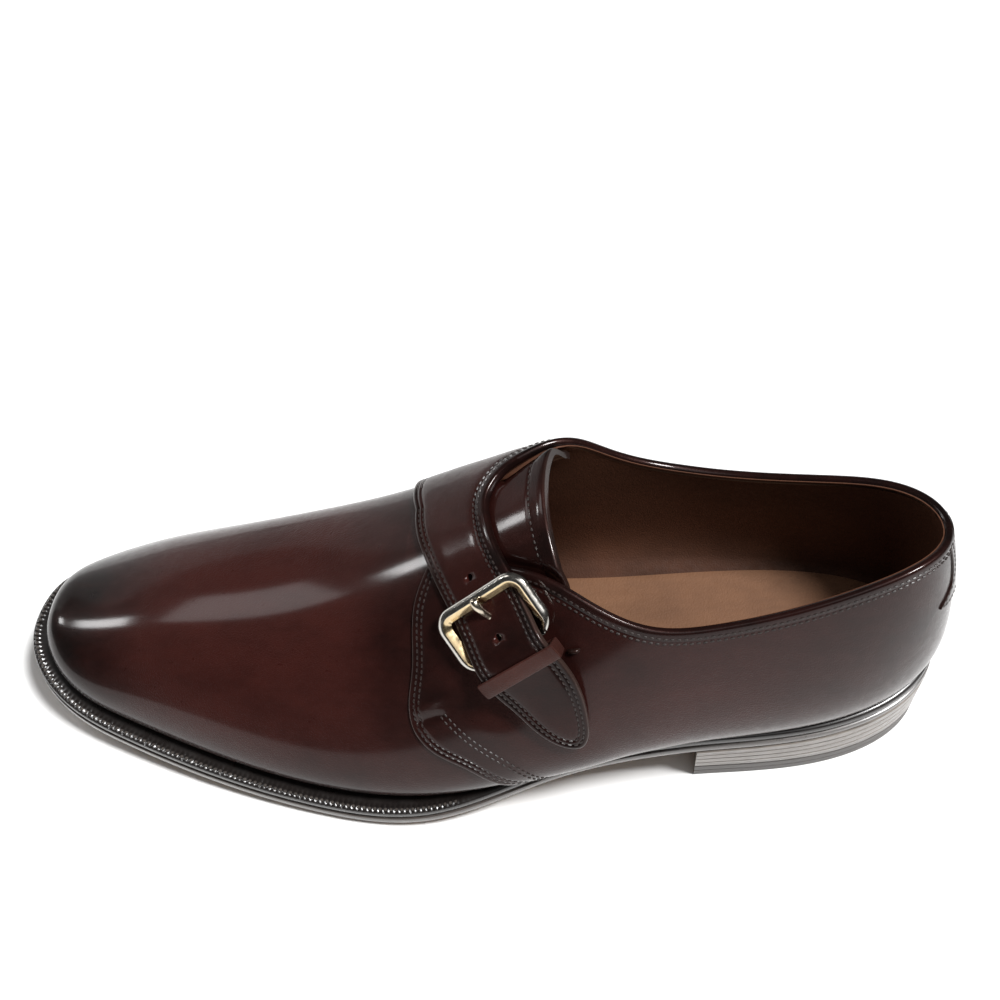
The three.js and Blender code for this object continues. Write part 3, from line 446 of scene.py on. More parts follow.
class Shell:
    """Gathers grids of points and faces into one welded, closed mesh.
    Each point carries two shares: burnish (dark finish, and painted shade on the lining) and trim
    (edge or second finish)."""

    def __init__(self):
        self.points, self.faces, self.shares, self.count = [], [], [], 0

    def add(self, points, faces, burnish=0.0, trim=0.0):
        """Takes points and their four-cornered faces, numbered from this call's own first."""
        points = np.asarray(points, float)
        shape = points.shape[:-1]
        shares = np.stack([np.broadcast_to(burnish, shape), np.broadcast_to(trim, shape)], -1)
        self.points.append(points.reshape(-1, 3))
        self.shares.append(shares.reshape(-1, 2))
        self.faces.append(faces + self.count)
        self.count += len(self.points[-1])

    def sheet(self, top, bottom, burnish=0.0, trim=0.0, open_u0=False, v1_from=0):
        """Two faces over one grid, joined by walls round the edge."""
        nu, nv = top.shape[:2]
        index = np.arange(nu * nv).reshape(nu, nv)
        here, right = index[:-1, :-1], index[1:, :-1]
        quads = np.stack([here, right, right + 1, here + 1], -1).reshape(-1, 4)
        walls = [index[:, 0], index[-1, :], index[v1_from:, -1][::-1]]
        if not open_u0:
            walls.append(index[0, ::-1])
        n = nu * nv
        rims = [np.stack([e[1:], e[:-1], e[:-1] + n, e[1:] + n], -1) for e in walls]
        faces = np.concatenate([quads, quads[:, ::-1] + n, *rims])
        burnish, trim = np.broadcast_to(burnish, (nu, nv)), np.broadcast_to(trim, (nu, nv))
        self.add(
            np.stack([top, bottom]), faces, np.stack([burnish] * 2), np.stack([trim] * 2)
        )

    def sweep(self, rings, closed_path=False, burnish=0.0, trim=0.0):
        """Closed rings of points joined into a tube, closed on itself or capped with fans."""
        n, m = rings.shape[:2]
        index = np.arange(n * m).reshape(n, m)
        if closed_path:
            index = np.vstack([index, index[:1]])
        here, ahead = index[:-1], index[1:]
        quads = np.stack(
            [here, np.roll(here, -1, 1), np.roll(ahead, -1, 1), ahead], -1
        ).reshape(-1, 4)
        self.add(rings, quads, burnish, trim)
        if not closed_path:
            k = np.arange(m)
            ahead, hub = np.roll(k, -1), np.full(m, m)
            for end, fan in ((0, [hub, ahead, k, k]), (-1, [hub, k, ahead, ahead])):
                ring = np.vstack([rings[end], rings[end].mean(axis=0, keepdims=True)])
                dark, edge = (np.broadcast_to(a, (n, m))[end].mean() for a in (burnish, trim))
                self.add(ring, np.stack(fan, -1), dark, edge)

    def finish(self, name, material, slot, replaced=(), sharp=38.0):
        """Welds the points, drops collapsed faces and the paired walls where two sheets
        meet, turns the skin outward and makes the object, riding on the shoe's one body."""
        points = np.concatenate(self.points)
        shares = np.concatenate(self.shares)
        faces = np.concatenate(self.faces)
        keys = np.round(points / 0.004).astype(np.int64)
        _, first, inverse = np.unique(keys, axis=0, return_index=True, return_inverse=True)
        faces = inverse.reshape(-1)[faces]
        points, shares = points[first], shares[first]
        a, b, c, d = (points[faces[:, i]] for i in range(4))
        volume = dot(a, np.cross(b, c)).sum() + dot(a, np.cross(c, d)).sum()
        if volume < 0:
            faces = faces[:, ::-1]
        kept = faces != np.roll(faces, 1, axis=1)
        sizes = kept.sum(axis=1)
        crossed = (sizes == 4) & (faces[:, :2] == faces[:, 2:]).any(axis=1)
        alike = np.sort(np.where(kept, faces, -1), axis=1)
        _, which, uses = np.unique(alike, axis=0, return_inverse=True, return_counts=True)
        whole = (sizes > 2) & ~crossed & (uses[which.reshape(-1)] == 1)
        sizes, corners = sizes[whole], faces[whole][kept[whole]]
        mesh = bpy.data.meshes.new(name)
        mesh.vertices.add(len(points))
        mesh.vertices.foreach_set("co", ((points + TOE_TIP) * MM).ravel())
        mesh.loops.add(len(corners))
        mesh.loops.foreach_set("vertex_index", corners.astype(np.int32))
        mesh.polygons.add(len(sizes))
        mesh.polygons.foreach_set("loop_start", (np.cumsum(sizes) - sizes).astype(np.int32))
        mesh.update(calc_edges=True)
        for column, share in enumerate(("burnish", "trim")):
            layer = mesh.attributes.new(share, "FLOAT", "POINT")
            layer.data.foreach_set("value", shares[:, column].astype(np.float32))
        mesh.materials.append(material)
        mesh.shade_smooth()
        mesh.set_sharp_from_angle(angle=math.radians(sharp))
        mesh.validate()
        piece = bpy.data.objects.new(name, mesh)
        bpy.context.scene.collection.objects.link(piece)
        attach(piece, "root")
        if replaced:
            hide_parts(*replaced)
        return piece


def edge_round(distance, radius=EDGE_RADIUS):
    """Drop of a rounded edge: a quarter circle over its radius."""
    inside = np.clip(1 - distance / radius, 0, 1)
    return radius * (1 - np.sqrt(1 - inside**2))


def stitch_grooves(distance, rows=STITCH_ROWS, depth=0.22):
    """Drop of the sunken lines that sewing pulls into the leather."""
    return depth * sum(bump(distance - row, 0.34) for row in rows)


def patch(bottom, top, left, right, u, v):
    """Coons patch of places: the two pairs of opposite edges blended, less the corners."""
    u, v = u[:, None, None], v[None, :, None]
    ruled_v = (1 - v) * bottom[:, None] + v * top[:, None]
    ruled_u = (1 - u) * left[None] + u * right[None]
    corners = (
        (1 - u) * (1 - v) * bottom[0] + u * (1 - v) * bottom[-1]
        + (1 - u) * v * top[0] + u * v * top[-1]
    )
    return ruled_v + ruled_u - corners


def thread(shell, points, normals, pitch, width, length=STITCH_LENGTH, height=STITCH_HEIGHT):
    """Sewn stitches along a line: one small bead each, its rings set along the line, across
    it and out of the face."""
    run = lengths(points)
    count = max(2, int(run[-1] / pitch))
    at = (np.arange(count) + 0.5) * run[-1] / count
    centre, ahead, behind, out = (
        np.stack([np.interp(np.clip(at + shift, 0, run[-1]), run, row[:, i]) for i in range(3)], -1)
        for row, shift in ((points, 0), (points, 0.4), (points, -0.4), (normals, 0))
    )
    along, out = unit(ahead - behind), unit(out)
    side = np.cross(out, along)
    reach = np.array([-0.5, -0.36, 0.0, 0.36, 0.5]) * length
    swell = np.array([0.02, 0.8, 1.0, 0.8, 0.02])
    turn = np.arange(6) * math.pi / 3
    x = np.repeat(reach, 6)
    y = (swell[:, None] * np.cos(turn) * width / 2).ravel()
    z = (swell[:, None] * np.sin(turn) * height / 2).ravel()
    beads = (
        centre[:, None] + along[:, None] * x[:, None] + side[:, None] * y[:, None]
        + out[:, None] * z[:, None]
    )
    index = np.arange(30).reshape(5, 6)
    rings = np.stack(
        [index[:-1], np.roll(index[:-1], -1, 1), np.roll(index[1:], -1, 1), index[1:]], -1
    ).reshape(-1, 4)
    caps = np.array([[0, 5, 4, 3], [3, 2, 1, 0], [24, 25, 26, 27], [27, 28, 29, 24]])
    one = np.concatenate([rings, caps])
    faces = (one[None] + 30 * np.arange(count)[:, None, None]).reshape(-1, 4)
    shell.add(beads, faces)


# ------------------------------------------------------------------ finishes


def node_group(name, inputs, outputs):
    """Empty shader node group with named sockets, and its input and output nodes."""
    group = bpy.data.node_groups.new(name, "ShaderNodeTree")
    for title, kind, default in inputs:
        socket = group.interface.new_socket(title, in_out="INPUT", socket_type=kind)
        if default is not None:
            socket.default_value = default
    for title, kind in outputs:
        group.interface.new_socket(title, in_out="OUTPUT", socket_type=kind)
    return group, group.nodes.new("NodeGroupInput"), group.nodes.new("NodeGroupOutput")


def add_node(tree, kind, values, **settings):
    """Node with its settings, and its input sockets set or linked by name or number."""
    node = tree.nodes.new(kind)
    for key, value in settings.items():
        setattr(node, key, value)
    for key, value in values.items():
        if isinstance(value, bpy.types.NodeSocket):
            tree.links.new(value, node.inputs[key])
        else:
            node.inputs[key].default_value = value
    return node


def math_node(tree, operation, *values, clamp=False):
    """Result of a math node."""
    node = add_node(tree, "ShaderNodeMath", dict(enumerate(values)), operation=operation)
    node.use_clamp = clamp
    return node.outputs[0]


def blend_colours(tree, share, first, second):
    """Colour between two, by a share."""
    values = {0: share, 6: first, 7: second}
    return add_node(tree, "ShaderNodeMix", values, data_type="RGBA").outputs[2]


def noise(tree, vector, scale, detail=3.0, roughness=0.55):
    """Height of a noise pattern."""
    values = {"Vector": vector, "Scale": scale, "Detail": detail, "Roughness": roughness}
    return add_node(tree, "ShaderNodeTexNoise", values).outputs["Fac"]


def span(tree, value, low, high, to_low=0.0, to_high=1.0):
    """Value mapped from one range to another and held inside it."""
    values = dict(enumerate((value, low, high, to_low, to_high)))
    return add_node(tree, "ShaderNodeMapRange", values).outputs["Result"]


def stretched(tree, vector, scale):
    """Place stretched by a scale on each axis, for strokes and fibres."""
    return add_node(tree, "ShaderNodeMapping", {"Vector": vector, "Scale": scale}).outputs[0]


FLOAT, COLOUR, VECTOR = "NodeSocketFloat", "NodeSocketColor", "NodeSocketVector"
GROUPS = {}


def make_groups():
    """Builds the shared effects once: calf grain, hand burnish, layered edge and rubbing."""
    group, source, target = node_group(
        "Calf grain", [("Vector", VECTOR, None), ("Fineness", FLOAT, 1.0)], [("Height", FLOAT)]
    )
    vector = source.outputs["Vector"]
    values = {0: vector, "Scale": source.outputs["Fineness"]}
    scaled = add_node(group, "ShaderNodeVectorMath", values, operation="SCALE").outputs[0]
    cells = add_node(
        group, "ShaderNodeTexVoronoi", {"Vector": scaled, "Scale": 1150.0},
        feature="DISTANCE_TO_EDGE",
    ).outputs["Distance"]
    pits = span(group, cells, 0.0, 0.22)
    pores = span(group, noise(group, scaled, 2600.0, 2.0), 0.30, 0.62)
    folds = noise(group, scaled, 260.0, 4.0, 0.6)
    height = math_node(group, "ADD", math_node(group, "MULTIPLY", pits, 0.5), pores)
    height = math_node(group, "ADD", math_node(group, "MULTIPLY", folds, 1.3), height)
    group.links.new(height, target.inputs["Height"])
    GROUPS["grain"] = group

    group, source, target = node_group(
        "Hand burnish and painted shade",
        [
            ("Vector", VECTOR, None), ("Burnish", FLOAT, 0.0), ("Ground", COLOUR, None),
            ("Dark", COLOUR, None),
        ],
        [("Color", COLOUR), ("Mask", FLOAT)],
    )
    vector = source.outputs["Vector"]
    clouds = span(group, noise(group, vector, 34.0, 5.0, 0.6), 0.28, 0.72, -0.22, 0.22)
    hand = stretched(group, vector, (60.0, 190.0, 120.0))
    strokes = span(group, noise(group, hand, 1.0, 4.0, 0.65), 0.3, 0.7, -0.12, 0.12)
    mask = math_node(group, "ADD", source.outputs["Burnish"], clouds)
    mask = math_node(group, "ADD", mask, strokes, clamp=True)
    colour = blend_colours(group, mask, source.outputs["Ground"], source.outputs["Dark"])
    group.links.new(colour, target.inputs["Color"])
    group.links.new(mask, target.inputs["Mask"])
    GROUPS["burnish"] = group

    group, source, target = node_group(
        "Layered edge",
        [
            ("Vector", VECTOR, None), ("Ground", COLOUR, None), ("Line", COLOUR, None),
            ("Pitch", FLOAT, 0.0044),
        ],
        [("Color", COLOUR), ("Height", FLOAT)],
    )
    vector = source.outputs["Vector"]
    height = add_node(group, "ShaderNodeSeparateXYZ", {0: vector}).outputs["Z"]
    wobble = math_node(group, "MULTIPLY", noise(group, vector, 60.0, 2.0), 0.0005)
    level = math_node(group, "ADD", height, wobble)
    level = math_node(group, "DIVIDE", level, source.outputs["Pitch"])
    stripe = math_node(group, "PINGPONG", level, 0.5)
    line = span(group, stripe, 0.0, 0.07, 1.0, 0.0)
    rough = noise(group, stretched(group, vector, (160.0, 160.0, 1500.0)), 1.0, 4.0, 0.6)
    shade = span(group, rough, 0.3, 0.7, 0.0, 0.5)
    colour = blend_colours(group, shade, source.outputs["Ground"], source.outputs["Line"])
    colour = blend_colours(group, line, colour, source.outputs["Line"])
    group.links.new(colour, target.inputs["Color"])
    group.links.new(math_node(group, "SUBTRACT", rough, line), target.inputs["Height"])
    GROUPS["layers"] = group

    group, source, target = node_group(
        "Rubbed surface",
        [
            ("Vector", VECTOR, None), ("Scale", FLOAT, 400.0), ("Low", FLOAT, 0.2),
            ("High", FLOAT, 0.4),
        ],
        [("Value", FLOAT)],
    )
    scuffs = noise(group, source.outputs["Vector"], source.outputs["Scale"], 4.0, 0.6)
    value = span(group, scuffs, 0.3, 0.7, source.outputs["Low"], source.outputs["High"])
    group.links.new(value, target.inputs["Value"])
    GROUPS["rub"] = group


def use_group(tree, name, values):
    """Outputs of a shared effect placed in a material with its own values."""
    return add_node(tree, "ShaderNodeGroup", values, node_tree=GROUPS[name]).outputs


def rubbed(tree, shader, place, scale, low, high):
    """Sets the roughness to scuffs between a low and a high value."""
    rub = use_group(tree, "rub", {"Vector": place, "Scale": scale, "Low": low, "High": high})
    tree.links.new(rub["Value"], shader.inputs["Roughness"])


def burnished(tree, place, ground, dark):
    """Outputs of the hand burnish, driven by the piece's burnish share, which on the lining carries
    painted shade.
    """
    values = {"Vector": place, "Burnish": share_of(tree, "burnish")}
    return use_group(tree, "burnish", {**values, "Ground": opaque(ground), "Dark": opaque(dark)})


def new_material(name, **sockets):
    """Material with a Principled shader; gives back material, node tree, shader and place."""
    material = bpy.data.materials.new(name)
    material.use_nodes = True
    tree = material.node_tree
    shader = tree.nodes["Principled BSDF"]
    for key, value in sockets.items():
        shader.inputs[key.replace("_", " ")].default_value = value
    place = tree.nodes.new("ShaderNodeTexCoord").outputs["Object"]
    return material, tree, shader, place


def share_of(tree, name):
    """Share that the piece's mesh carries under a name."""
    return add_node(tree, "ShaderNodeAttribute", {}, attribute_name=name).outputs["Fac"]


def add_bump(tree, shader, height, distance, strength):
    """Bumps the shader's normal by a height."""
    values = {"Height": height, "Distance": distance, "Strength": strength}
    node = add_node(tree, "ShaderNodeBump", values)
    tree.links.new(node.outputs["Normal"], shader.inputs["Normal"])


def opaque(colour):
    """Colour with a full alpha."""
    return (*colour, 1.0)


def calf_leather(name, ground, dark, low, high, coat, grain=0.00008):
    """Waxed calf: ground colour burnished dark by the piece's share, fine grain in the
    gloss, and a bare edge where the trim share says so."""
    material, tree, shader, place = new_material(
        name, Coat_Weight=coat, Coat_Roughness=0.12, Coat_IOR=1.36, Specular_IOR_Level=0.12,
        Specular_Tint=(1.0, 0.52, 0.46, 1.0),
    )
    burnish = burnished(tree, place, ground, dark)
    edge = opaque(bpy.context.scene.shoe_leather.edge_colour)
    colour = blend_colours(tree, share_of(tree, "trim"), burnish["Color"], edge)
    tree.links.new(colour, shader.inputs["Base Color"])
    rubbed(tree, shader, place, 300.0, low, high)
    grain_height = use_group(tree, "grain", {"Vector": place, "Fineness": 1.0})
    strength = span(tree, burnish["Mask"], 0.15, 0.75, 1.0, 0.3)
    add_bump(tree, shader, grain_height["Height"], grain, strength)
    return material


def raw_leather(name, ground, dark, fineness, depth, roughness=0.72):
    """Unwaxed lining or sock leather: soft mottling and a napped, dull surface."""
    material, tree, shader, place = new_material(name, Specular_IOR_Level=0.25)
    burnish = burnished(tree, place, ground, dark)
    tree.links.new(burnish["Color"], shader.inputs["Base Color"])
    rubbed(tree, shader, place, 500.0, roughness - 0.1, roughness + 0.12)
    height = use_group(tree, "grain", {"Vector": place, "Fineness": fineness})
    add_bump(tree, shader, height["Height"], depth, 0.9)
    return material


def edge_leather(name, ground, line, pitch, low, high, coat):
    """Waxed sole edge: stacked leather fibres with thin dark joints between the layers."""
    material, tree, shader, place = new_material(name, Coat_Weight=coat, Coat_Roughness=0.2)
    values = {"Vector": place, "Ground": opaque(ground), "Line": opaque(line), "Pitch": pitch}
    layers = use_group(tree, "layers", values)
    tree.links.new(layers["Color"], shader.inputs["Base Color"])
    rubbed(tree, shader, place, 240.0, low, high)
    add_bump(tree, shader, layers["Height"], 0.00006, 0.8)
    return material


def metal(name, first, second, low, high):
    """Polished plate: first metal, with the second where the trim share says so, finely
    rubbed."""
    material, tree, shader, place = new_material(name, Metallic=1.0)
    colour = blend_colours(tree, share_of(tree, "trim"), opaque(first), opaque(second))
    dull = span(tree, noise(tree, place, 420.0, 4.0), 0.35, 0.7, 0.0, 0.35)
    colour = blend_colours(tree, dull, colour, (0.30, 0.24, 0.17, 1.0))
    tree.links.new(colour, shader.inputs["Base Color"])
    rubbed(tree, shader, place, 700.0, low, high)
    scratches = stretched(tree, place, (300.0, 2600.0, 900.0))
    add_bump(tree, shader, noise(tree, scratches, 1.0, 3.0), 0.00001, 0.6)
    return material


def plain_fibre(name, ground, dark, scale, roughness, depth):
    """Waxed thread or rubber: mottled colour with a fine rough bump."""
    material, tree, shader, place = new_material(name)
    share = span(tree, noise(tree, place, scale, 4.0), 0.3, 0.7)
    colour = blend_colours(tree, share, opaque(ground), opaque(dark))
    tree.links.new(colour, shader.inputs["Base Color"])
    rubbed(tree, shader, place, scale, roughness - 0.12, roughness + 0.1)
    add_bump(tree, shader, noise(tree, place, scale * 2.5, 3.0), depth, 0.8)
    return material


FINISHES = {}


def finish(name):
    """Finish by name, made the first time it is asked for."""
    if not GROUPS:
        make_groups()
    if name not in FINISHES:
        scene = bpy.context.scene
        leather, metals, bottom = scene.shoe_leather, scene.shoe_metal, scene.shoe_bottom
        dark = tuple(leather.dark_colour)
        makers = {
            "calf": lambda: calf_leather(
                "burnished_calf", tuple(leather.ground_colour), dark,
                leather.gloss_low, leather.gloss_high, 0.75,
            ),
            "strap": lambda: calf_leather(
                "strap_calf", tuple(leather.ground_colour), dark, 0.28, 0.42, 0.5
            ),
            "keeper": lambda: calf_leather(
                "keeper_calf", tuple(leather.keeper_colour), (0.010, 0.005, 0.004), 0.34, 0.46,
                0.35,
            ),
            # Painted shade: the lining's dark colour is its own colour shaded down.
            "lining": lambda: raw_leather(
                "lining_calf", tuple(leather.lining_colour),
                tuple(0.35 * c for c in leather.lining_colour), 0.8, 0.00005,
            ),
            "sock": lambda: raw_leather(
                "sock_leather", tuple(leather.sock_colour), (0.08, 0.04, 0.024), 0.6, 0.00005, 0.6
            ),
            "welt": lambda: edge_leather(
                "welt_leather", tuple(bottom.welt_colour), (0.005, 0.004, 0.004), 0.0400, 0.24,
                0.42, 0.6,
            ),
            "edge": lambda: edge_leather(
                "sole_edge", tuple(bottom.edge_colour), (0.030, 0.024, 0.021), 0.0400, 0.24,
                0.42, 0.8,
            ),
            "stack": lambda: edge_leather(
                "stacked_heel", tuple(bottom.stack_colour), (0.105, 0.09, 0.078), 0.00415,
                0.30, 0.5, 0.5,
            ),
            "tread": lambda: raw_leather(
                "tread_leather", tuple(bottom.tread_colour), (0.11, 0.065, 0.038), 0.5,
                0.00006, 0.55,
            ),
            "rubber": lambda: plain_fibre(
                "heel_rubber", tuple(bottom.rubber_colour), (0.13, 0.12, 0.115), 320.0, 0.55,
                0.00004,
            ),
            "thread": lambda: plain_fibre(
                "waxed_thread", tuple(leather.thread_colour), (0.012, 0.007, 0.006), 900.0,
                0.42, 0.00003,
            ),
            "welt_thread": lambda: plain_fibre(
                "welt_thread", (0.085, 0.074, 0.066), (0.03, 0.024, 0.021), 900.0, 0.34, 0.00003
            ),
            "buckle": lambda: metal(
                "polished_nickel", tuple(metals.nickel_colour), tuple(metals.bevel_colour),
                0.12, 0.26,
            ),
        }
        FINISHES[name] = makers[name]()
    return FINISHES[name]


# ------------------------------------------------------------------ settings


def colour_setting(title, words, default):
    """Colour that the user may change."""
    return bpy.props.FloatVectorProperty(
        name=title, description=words, subtype="COLOR", size=3, min=0, max=1, default=default
    )


class ShoeLeather(bpy.types.PropertyGroup):
    """Colours and gloss of the upper's leathers."""

    ground_colour: colour_setting(
        "Ground", "Reddish brown under the burnish", (0.034, 0.0078, 0.0060)
    )
    dark_colour: colour_setting(
        "Burnish", "Near-black of toe, seams and quarters", (0.0040, 0.0024, 0.0022)
    )
    edge_colour: colour_setting("Cut edge", "Rubbed cut edges", (0.055, 0.034, 0.028))
    keeper_colour: colour_setting("Keeper", "Loop below the buckle", (0.052, 0.018, 0.014))
    lining_colour: colour_setting("Lining", "Tan lining leather", (0.125, 0.050, 0.027))
    sock_colour: colour_setting("Sock", "Leather underfoot", (0.20, 0.10, 0.055))
    thread_colour: colour_setting("Thread", "Sewing thread", (0.026, 0.015, 0.012))
    gloss_low: bpy.props.FloatProperty(
        name="Shine", description="Roughness where the wax is brightest", min=0.05, max=1,
        subtype="FACTOR", default=0.27,
    )
    gloss_high: bpy.props.FloatProperty(
        name="Dullness", description="Roughness where the wax is dullest", min=0.05, max=1,
        subtype="FACTOR", default=0.42,
    )


class ShoeMetal(bpy.types.PropertyGroup):
    """Colours of the buckle."""

    nickel_colour: colour_setting("Nickel", "Rounded outer face", (0.62, 0.60, 0.56))
    bevel_colour: colour_setting("Bevel", "Golden inner bevel", (0.80, 0.62, 0.36))


class ShoeBottom(bpy.types.PropertyGroup):
    """Colours of the welt, sole and heel."""

    welt_colour: colour_setting("Welt", "Waxed wheeled ledge", (0.014, 0.011, 0.010))
    edge_colour: colour_setting("Sole edge", "Waxed edge of the outsole", (0.075, 0.062, 0.055))
    tread_colour: colour_setting("Tread", "Underside of the outsole", (0.21, 0.13, 0.075))
    stack_colour: colour_setting("Heel stack", "Leather lifts", (0.24, 0.21, 0.185))
    rubber_colour: colour_setting("Top piece", "Rubber on the floor", (0.095, 0.088, 0.082))


class ShoeSewing(bpy.types.PropertyGroup):
    """Sizes of the sewing."""

    pitch: bpy.props.FloatProperty(
        name="Stitch pitch", description="Distance from stitch to stitch", unit="LENGTH",
        min=0.001, max=0.006, default=0.0019, precision=4,
    )
    width: bpy.props.FloatProperty(
        name="Thread width", description="Width of one stitch", unit="LENGTH",
        min=0.0002, max=0.002, default=0.00062, precision=4,
    )
    wheel_pitch: bpy.props.FloatProperty(
        name="Wheel pitch", description="Distance between the marks on the welt",
        unit="LENGTH", min=0.001, max=0.006, default=0.0017, precision=4,
    )


class ShoeStage(bpy.types.PropertyGroup):
    """Floor, light and camera."""

    floor_colour: colour_setting("Floor", "Pale floor", (0.92, 0.92, 0.915))
    world_strength: bpy.props.FloatProperty(
        name="Surround", description="Strength of the even white light", min=0, max=5,
        default=0.05,
    )
    sun_strength: bpy.props.FloatProperty(
        name="Sun", description="Strength of the even light from above", min=0, max=20,
        default=4.6,
    )
    lens: bpy.props.FloatProperty(
        name="Lens", description="Focal length in millimetres on a 36 mm sensor", min=20,
        max=200, default=53.11,
    )


# ------------------------------------------------------------------ pieces of the upper


def toe_burnish(s, girth):
    """Dark shares of the upper near the toe tip and along the welt, each a smooth step."""
    toe = 1 - ease((s - 26) / 44)
    welt = 0.9 * (1 - ease((1 - np.abs(girth)) / 0.55))
    return toe, welt


def make_vamp():
    """Vamp: the last's face from the toe tip to under the quarters. Each column runs from
    the lateral welt over the ridge to the medial welt, and each row from the toe tip back
    to a rear edge that follows the quarters' front edges from just behind them."""
    count = 181
    girth = np.linspace(-1, 1, count)
    rear = []
    for side, rows in ((-1, LATERAL_FRONT), (1, MEDIAL_FRONT)):
        s, g = front_path(rows, side)
        s, g = offset(s, g, 8.0, side)
        order = np.argsort(np.abs(g))
        rear.append(np.interp(np.abs(girth), np.abs(g)[order], s[order]))
    edge = np.where(girth < 0, rear[0], rear[1])
    edge = mix(151.2, edge, ease((np.abs(girth) - 0.05) / 0.12))
    u = np.linspace(0, 1, 130) ** 1.12
    s = u[:, None] * edge[None, :]
    girths = np.broadcast_to(girth, s.shape)
    toe, welt = toe_burnish(s, girths)
    behind = 0.55 * ease((s - edge + 40) / 36)
    burnish = np.maximum.reduce([toe, welt, behind]) * 0.95 + 0.12
    shell = Shell()
    shell.sheet(
        on_upper(s, girths, 0 * s), on_upper(s, girths, 0 * s - LEATHER_THICKNESS), burnish
    )
    shell.finish("vamp", finish("calf"), "upper_leather", ["upper"])


def overlay_level(d):
    """Height of a quarter above the upper: full near its front edge, easing down behind."""
    return mix(OVERLAY, OVERLAY_THINNED, ease((d - THINNING_FROM) / THINNING_OVER))


def crumple(points, side):
    """Dents and ridges pressed into the quarter's lower front corner, as soft bells along
    short lines."""
    if side < 0:
        ridge = [(147.6, 0.565), (150.6, 0.58), (154.8, 0.585)]
        hollow = [(147.4, 0.53), (150.5, 0.535), (154.0, 0.54)]
    else:
        ridge = [(147.2, 0.56), (151.2, 0.565), (156.0, 0.555)]
        hollow = [(146.9, 0.525), (151.5, 0.52), (156.5, 0.475)]
    lines = [last_point(*front_path(rows, side, 40)) for rows in (ridge, hollow)]
    high, low = (distance_to(points, line) for line in lines)
    return 0.35 * bump(high, 1.4) - 0.65 * bump(low, 1.15)


def quarter_grid(front, top_knots, side, rows, columns):
    """Places of a quarter: offset curves behind its front edge, then a patch between the
    last of them, the welt, the collar edge and the heel seam."""
    s, g = front_path(front, side, rows)
    strips = [offset(s, g, d, side) if d else (s, g) for d in EDGE_COLUMNS]
    border = np.stack([np.stack(strip, -1) for strip in strips])
    v = np.linspace(0, 1, rows)
    u = np.linspace(0, 1, columns)
    start = border[-1, 0]
    bottom = np.stack([mix(start[0], LAST_STATION, u), np.full(columns, float(side))], -1)
    top_s, top_g = path([tuple(border[-1, -1]), *top_knots], columns)
    right = np.stack(
        [np.full(rows, LAST_STATION), mix(float(side), top_knots[-1][1], v)], -1
    )
    places = patch(bottom, np.stack([top_s, top_g], -1), border[-1], right, u, v)
    return border, places[1:], np.stack([s, g], -1)


def quarter_burnish(points, s, girth, front_distance):
    """Dark share of a quarter: darkest near the seams, the welt and the heel, with a warmer
    middle."""
    _, welt = toe_burnish(s, girth)
    warm = bump((points[..., 0] - 214) / 34, 1.0) * bump((np.abs(girth) - 0.62) / 0.22, 1.0)
    dark = np.maximum(0.74 - 0.5 * warm, 0.8 * welt)
    return np.clip(dark - 0.25 * bump(front_distance - 30, 18), 0, 1)


def make_lateral_quarter():
    """Lateral quarter: one sheet over the vamp, thick at its rounded front edge and easing
    down behind the second row of sewing."""
    side = -1
    border, rest, front = quarter_grid(LATERAL_FRONT, LATERAL_TOPLINE[1:], side, 84, 96)
    places = np.concatenate([border, rest])
    s, g = places[..., 0], np.clip(places[..., 1], -1, -1e-6)
    points = last_point(s, g)
    front_line = last_point(front[:, 0], front[:, 1])
    d = distance_to(points, front_line)
    d[: len(EDGE_COLUMNS)] = np.array(EDGE_COLUMNS)[:, None]
    level = overlay_level(d) - edge_round(d) - stitch_grooves(d) + crumple(points, side)
    shell = Shell()
    trim = 0.75 * bump(d, 0.35)
    burnish = quarter_burnish(points, s, g, d)
    under = np.minimum(level - LEATHER_THICKNESS, 0.0)
    shell.sheet(on_upper(s, g, level), on_upper(s, g, under), burnish, trim)
    shell.finish("lateral_quarter", finish("calf"), "upper_leather", ["upper"])


def strap_grid():
    """Places of the strap: columns at set distances from its two edges, each running along
    the strap and then round the pointed tip to meet its twin on the middle line."""
    half = float(strap_toeward(STRAP_END))
    depths = np.array([d for d in EDGE_COLUMNS if d < 6] + [6.6, 7.8, 8.9, half])
    body = np.linspace(0, 1, 90)
    angle = np.linspace(0, 1, 26)[1:] * math.pi / 2
    columns_t, columns_a, columns_d = [], [], []
    for side in (-1, 1):
        order = depths if side < 0 else depths[-2::-1]
        for depth in order:
            taper = TIP_TAPER_LENGTH - 0.75 * depth
            end = STRAP_END - 1.15 * depth
            t = np.concatenate([
                mix(STRAP_BASE, end - taper, body),
                end - taper + taper * np.sin(angle) ** (2 / TIP_SHAPE),
            ])
            share = np.concatenate([np.ones(90), np.cos(angle) ** (2 / TIP_SHAPE)])
            share[-1] = 0.0
            reach = strap_toeward(t) if side < 0 else strap_heelward(t)
            wide = reach / half
            inner = reach - np.where(depth < 6, depth, depth * wide)
            columns_t.append(t)
            columns_a.append(side * np.maximum(inner, 0) * share)
            columns_d.append(np.full(len(t), depth))
    return (np.stack(c, 1) for c in (columns_t, columns_a, columns_d))


def strap_top(t, depth):
    """Height of the strap's top: its lift and thickness, a little crown, grooves at the
    sewing and a rounded edge."""
    crown = 0.22 * ease((depth - 3.4) / 2.5)
    sunk = edge_round(depth, 0.75) + stitch_grooves(depth, depth=0.3)
    return strap_lift(t) + strap_thick(t) + crown - sunk


